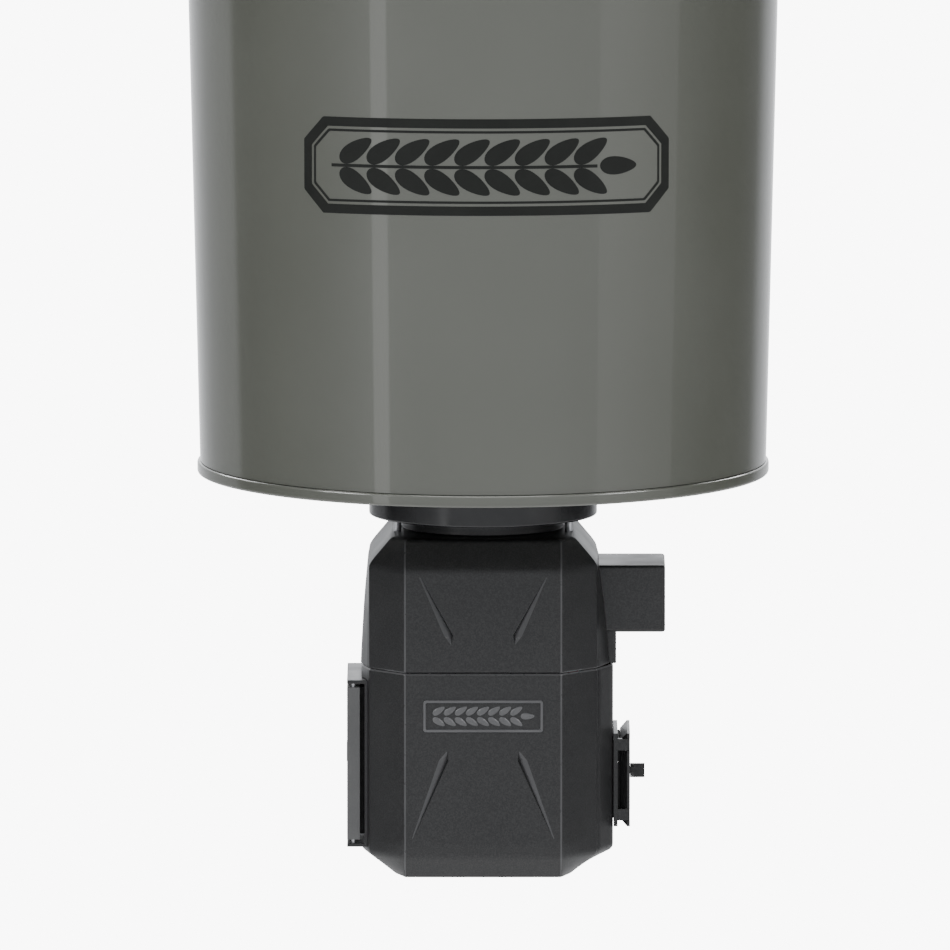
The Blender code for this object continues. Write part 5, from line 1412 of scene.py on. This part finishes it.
PLATE_GREY = make_plain("plate_grey", (0.085, 0.085, 0.088), 0.4, 0.12, 1500.0, 0.00003)
complete(make_plate(), "kit", PLATE_GREY)

# %% [markdown]
# ## The discharge chute
#
# The chute is a rectangular duct with rounded corners and a thick lip at its mouth, and an apron
# below it closes the housing's window. A box with its ends removed and a Solidify would do for
# the duct, but not for its lip. So its sections run out along the outside, round the lip and
# back down the inside, as one closed loop.


# %% Form the chute
CHUTE_LOW, CHUTE_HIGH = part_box("discharge_chute")
CHUTE_WALL = 2.0 * MM


def duct_outline(half, low, high, corner):
    """A rectangle (y, z) with rounded corners."""
    return soften_loop([(-half, low), (half, low), (half, high), (-half, high)], corner, 8)


def chute_meshes():
    """Duct rows (x, inset): outside from the inner end to the mouth, then back down the inside."""
    start, end = CHUTE_LOW.x, CHUTE_HIGH.x
    half, foot, top = 25.0 * MM, level(-81.5), level(-46.5)
    wall = CHUTE_WALL
    outside = [(start, 0.0), (start + 6 * MM, 0.0), (end - 12 * MM, 0.0), (end - 1.6 * MM, 0.0)]
    lip = [(end - 0.6 * MM, 0.25 * MM), (end, 1.0 * MM), (end, 1.4 * MM), (end - 0.8 * MM, wall)]
    rows = outside + lip + [(end - 12 * MM, wall), (start, wall)]
    points = [
        duct_row(x, half - inset, foot + inset, top - inset, max(2.2 * MM - inset, 0.5 * MM))
        for x, inset in rows
    ]
    duct = grid_mesh("duct", np.stack(points), around=True, along=True)
    return [duct, apron_mesh((end - 31.4 * MM, end - 25.4 * MM), half, CHUTE_LOW.z, foot + MM)]


def duct_row(x, half, low, high, corner):
    """The duct's outline at a place along X."""
    yz = duct_outline(half, low, high, corner)
    return np.column_stack([np.full(len(yz), x), yz])


def apron_mesh(span, half, low, high, soft=0.5 * MM):
    """A block with soft edges: its outline along X, drawn in at both ends."""
    (near, far), slight = span, 0.3 * soft
    rows = [(near, soft), (near + slight, slight), (near + soft, 0.0)]
    rows += [(far - soft, 0.0), (far - slight, slight), (far, soft)]
    points = [duct_row(x, half - inset, low + inset, high - inset, 1.2 * soft) for x, inset in rows]
    return grid_mesh("apron", capped(np.stack(points)), around=True)


chute = new_piece(joined("chute", chute_meshes()))
complete(chute, "kit", SHELL_BLACK)
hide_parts("discharge_chute")

# %% [markdown]
# ## Doors, frames and small mouldings
#
# The doors, their frames, the latch and the inner trays have the right shape already. What a
# moulding has and a drawing hasn't is a small radius on every edge, because a mould can't make a
# sharp one. They could be worked out again as grids, but with nothing round in them a Bevel is
# enough. So each is copied, its flat faces are made whole, and its edges are rounded.


# %% Ease the edges of the moulded parts
BODY_OF = {
    node: body
    for body, nodes in frame["record"]["behaviour"]["bodies"].items()
    for node in nodes
}


def whole_faces(mesh):
    """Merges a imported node's loose triangles, and then those that lie in one plane."""
    work = bmesh.new()
    work.from_mesh(mesh)
    bmesh.ops.remove_doubles(work, verts=work.verts, dist=1e-6)
    flat = math.radians(1.0)
    bmesh.ops.dissolve_limit(work, verts=work.verts, edges=work.edges, angle_limit=flat)
    bmesh.ops.recalc_face_normals(work, faces=work.faces)
    work.to_mesh(mesh)
    work.free()


def eased_copy(node, material, width=0.3, segments=3, fuller=1.0):
    """A node's own shape with rounded edges, replacing it. fuller thickens it along X."""
    mesh = frame["nodes"][node].data.copy()
    mesh.name = f"{node}_eased"
    whole_faces(mesh)
    middle = node_centre(node)[0]
    spots = np.empty(len(mesh.vertices) * 3)
    mesh.vertices.foreach_get("co", spots)
    spots[::3] = middle + (spots[::3] - middle) * fuller
    mesh.vertices.foreach_set("co", spots)
    made = new_piece(mesh)
    change = made.modifiers.new("eased", "BEVEL")
    change.width = width * MM
    change.segments = segments
    change.limit_method = "ANGLE"
    change.angle_limit = math.radians(35.0)
    change.use_clamp_overlap = True
    mesh.shade_smooth()
    flatten = made.modifiers.new("flat_faces", "WEIGHTED_NORMAL")
    flatten.weight = 100
    settle(made)
    complete(made, BODY_OF[node], material, sharp=None)
    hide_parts(node)


# %% Ease each moulded and pressed part
SHELL_PARTS = {
    "battery_door_frame": 0.45, "battery_door": 0.6, "battery_latch": 0.3,
    "timer_frame": 0.35, "timer_door": 0.35, "timer_knob": 0.3,
}
INNER_PARTS = {
    "battery_tray": 0.3, "motor_deck": 0.3, "timer_faceplate": 0.3, "spinner_shroud": 0.25,
}
DOOR_GREY = make_plain("door_grey", (0.09, 0.09, 0.09), 0.42, 0.1, 1300.0, 0.00008)
for node, width in SHELL_PARTS.items():
    finish = DOOR_GREY if node == "battery_door" else SHELL_BLACK
    eased_copy(node, finish, width)
for node, width in INNER_PARTS.items():
    eased_copy(node, INNER_BLACK, width)
eased_copy("battery", CASE_GREY, 0.5)
eased_copy("display_window", SCREEN, 0.2)
eased_copy("circuit_board", BOARD_GREEN, 0.1, 2)
for node in ("button_down", "button_set", "button_up"):
    eased_copy(node, BUTTON_GREY, 0.5, 4)
for node, fuller in (("battery_door_gasket", 1.28), ("timer_door_gasket", 1.7)):
    eased_copy(node, RUBBER, 0.2, fuller=fuller)
for node in ("bail_ear_left", "bail_ear_right", "spinner_plate"):
    eased_copy(node, ZINC, 0.25)

# %% [markdown]
# ## The throat and the foot's pad
#
# The throat leads the feed from the housing's neck down to the spinner, and a rubber pad sits
# under the floor. Both are round about the main axis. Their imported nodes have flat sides, so
# they are turned again from their outlines.

# %% Turn the throat and the pad
def turned_like(name, node, outline, material, reach=0.3, steps=96):
    """A closed (radius, height) outline in millimetres from the foot, turned on the main axis."""
    outline = np.array(outline, float) * MM
    outline[:, 1] += FOOT
    on_axis = abs(outline[0, 0]) < 1e-9
    soft = (soften if on_axis else soften_loop)(outline, reach * MM, 4)
    made = turned_piece(name, soft, steps)
    complete(made, BODY_OF[node], material)
    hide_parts(node)


turned_like("throat", "throat_funnel", [
    (41.2, -14.1), (41.2, -15.7), (38.8, -15.7), (38.8, -18.7), (20.6, -44.5), (20.6, -59.5),
    (19.0, -59.5), (19.0, -43.7), (37.2, -17.7), (37.2, -14.1),
], INNER_BLACK)
low, high = ((corner.z - FOOT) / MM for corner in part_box("base_pad"))
pad_outline = [(0, high), (14, high), (14, low), (0, low)]
turned_like("foot_pad", "base_pad", pad_outline, RUBBER, 0.25)

# %% [markdown]
# ## Finishes for the parts kept as they are
#
# Wires, hinge pins, the motor with its shaft and hub, and the funnel and flange in the pail keep
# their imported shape, because nobody sees them from outside. They still take the finish of their
# slot, so that an opened door or a cut view looks right.

# %% Finish the kept parts
SLOT_FINISH = {
    "olive_paint": ENAMEL, "zinc_plated_steel": ZINC, "black_shell_plastic": SHELL_BLACK,
    "black_inner_plastic": INNER_BLACK, "black_rubber": RUBBER, "battery_case": CASE_GREY,
    "circuit_board": BOARD_GREEN, "display_glass": SCREEN, "button_grey": BUTTON_GREY,
    "red_wire": RED_COVER, "black_wire": BLACK_COVER,
}
kept = [node for node in frame["nodes"].values() if not node.hide_render]
for node in kept:
    for place in node.material_slots:
        place.material = SLOT_FINISH[place.material.name.split(".")[0]]
print("kept:", sorted(node.name for node in kept))
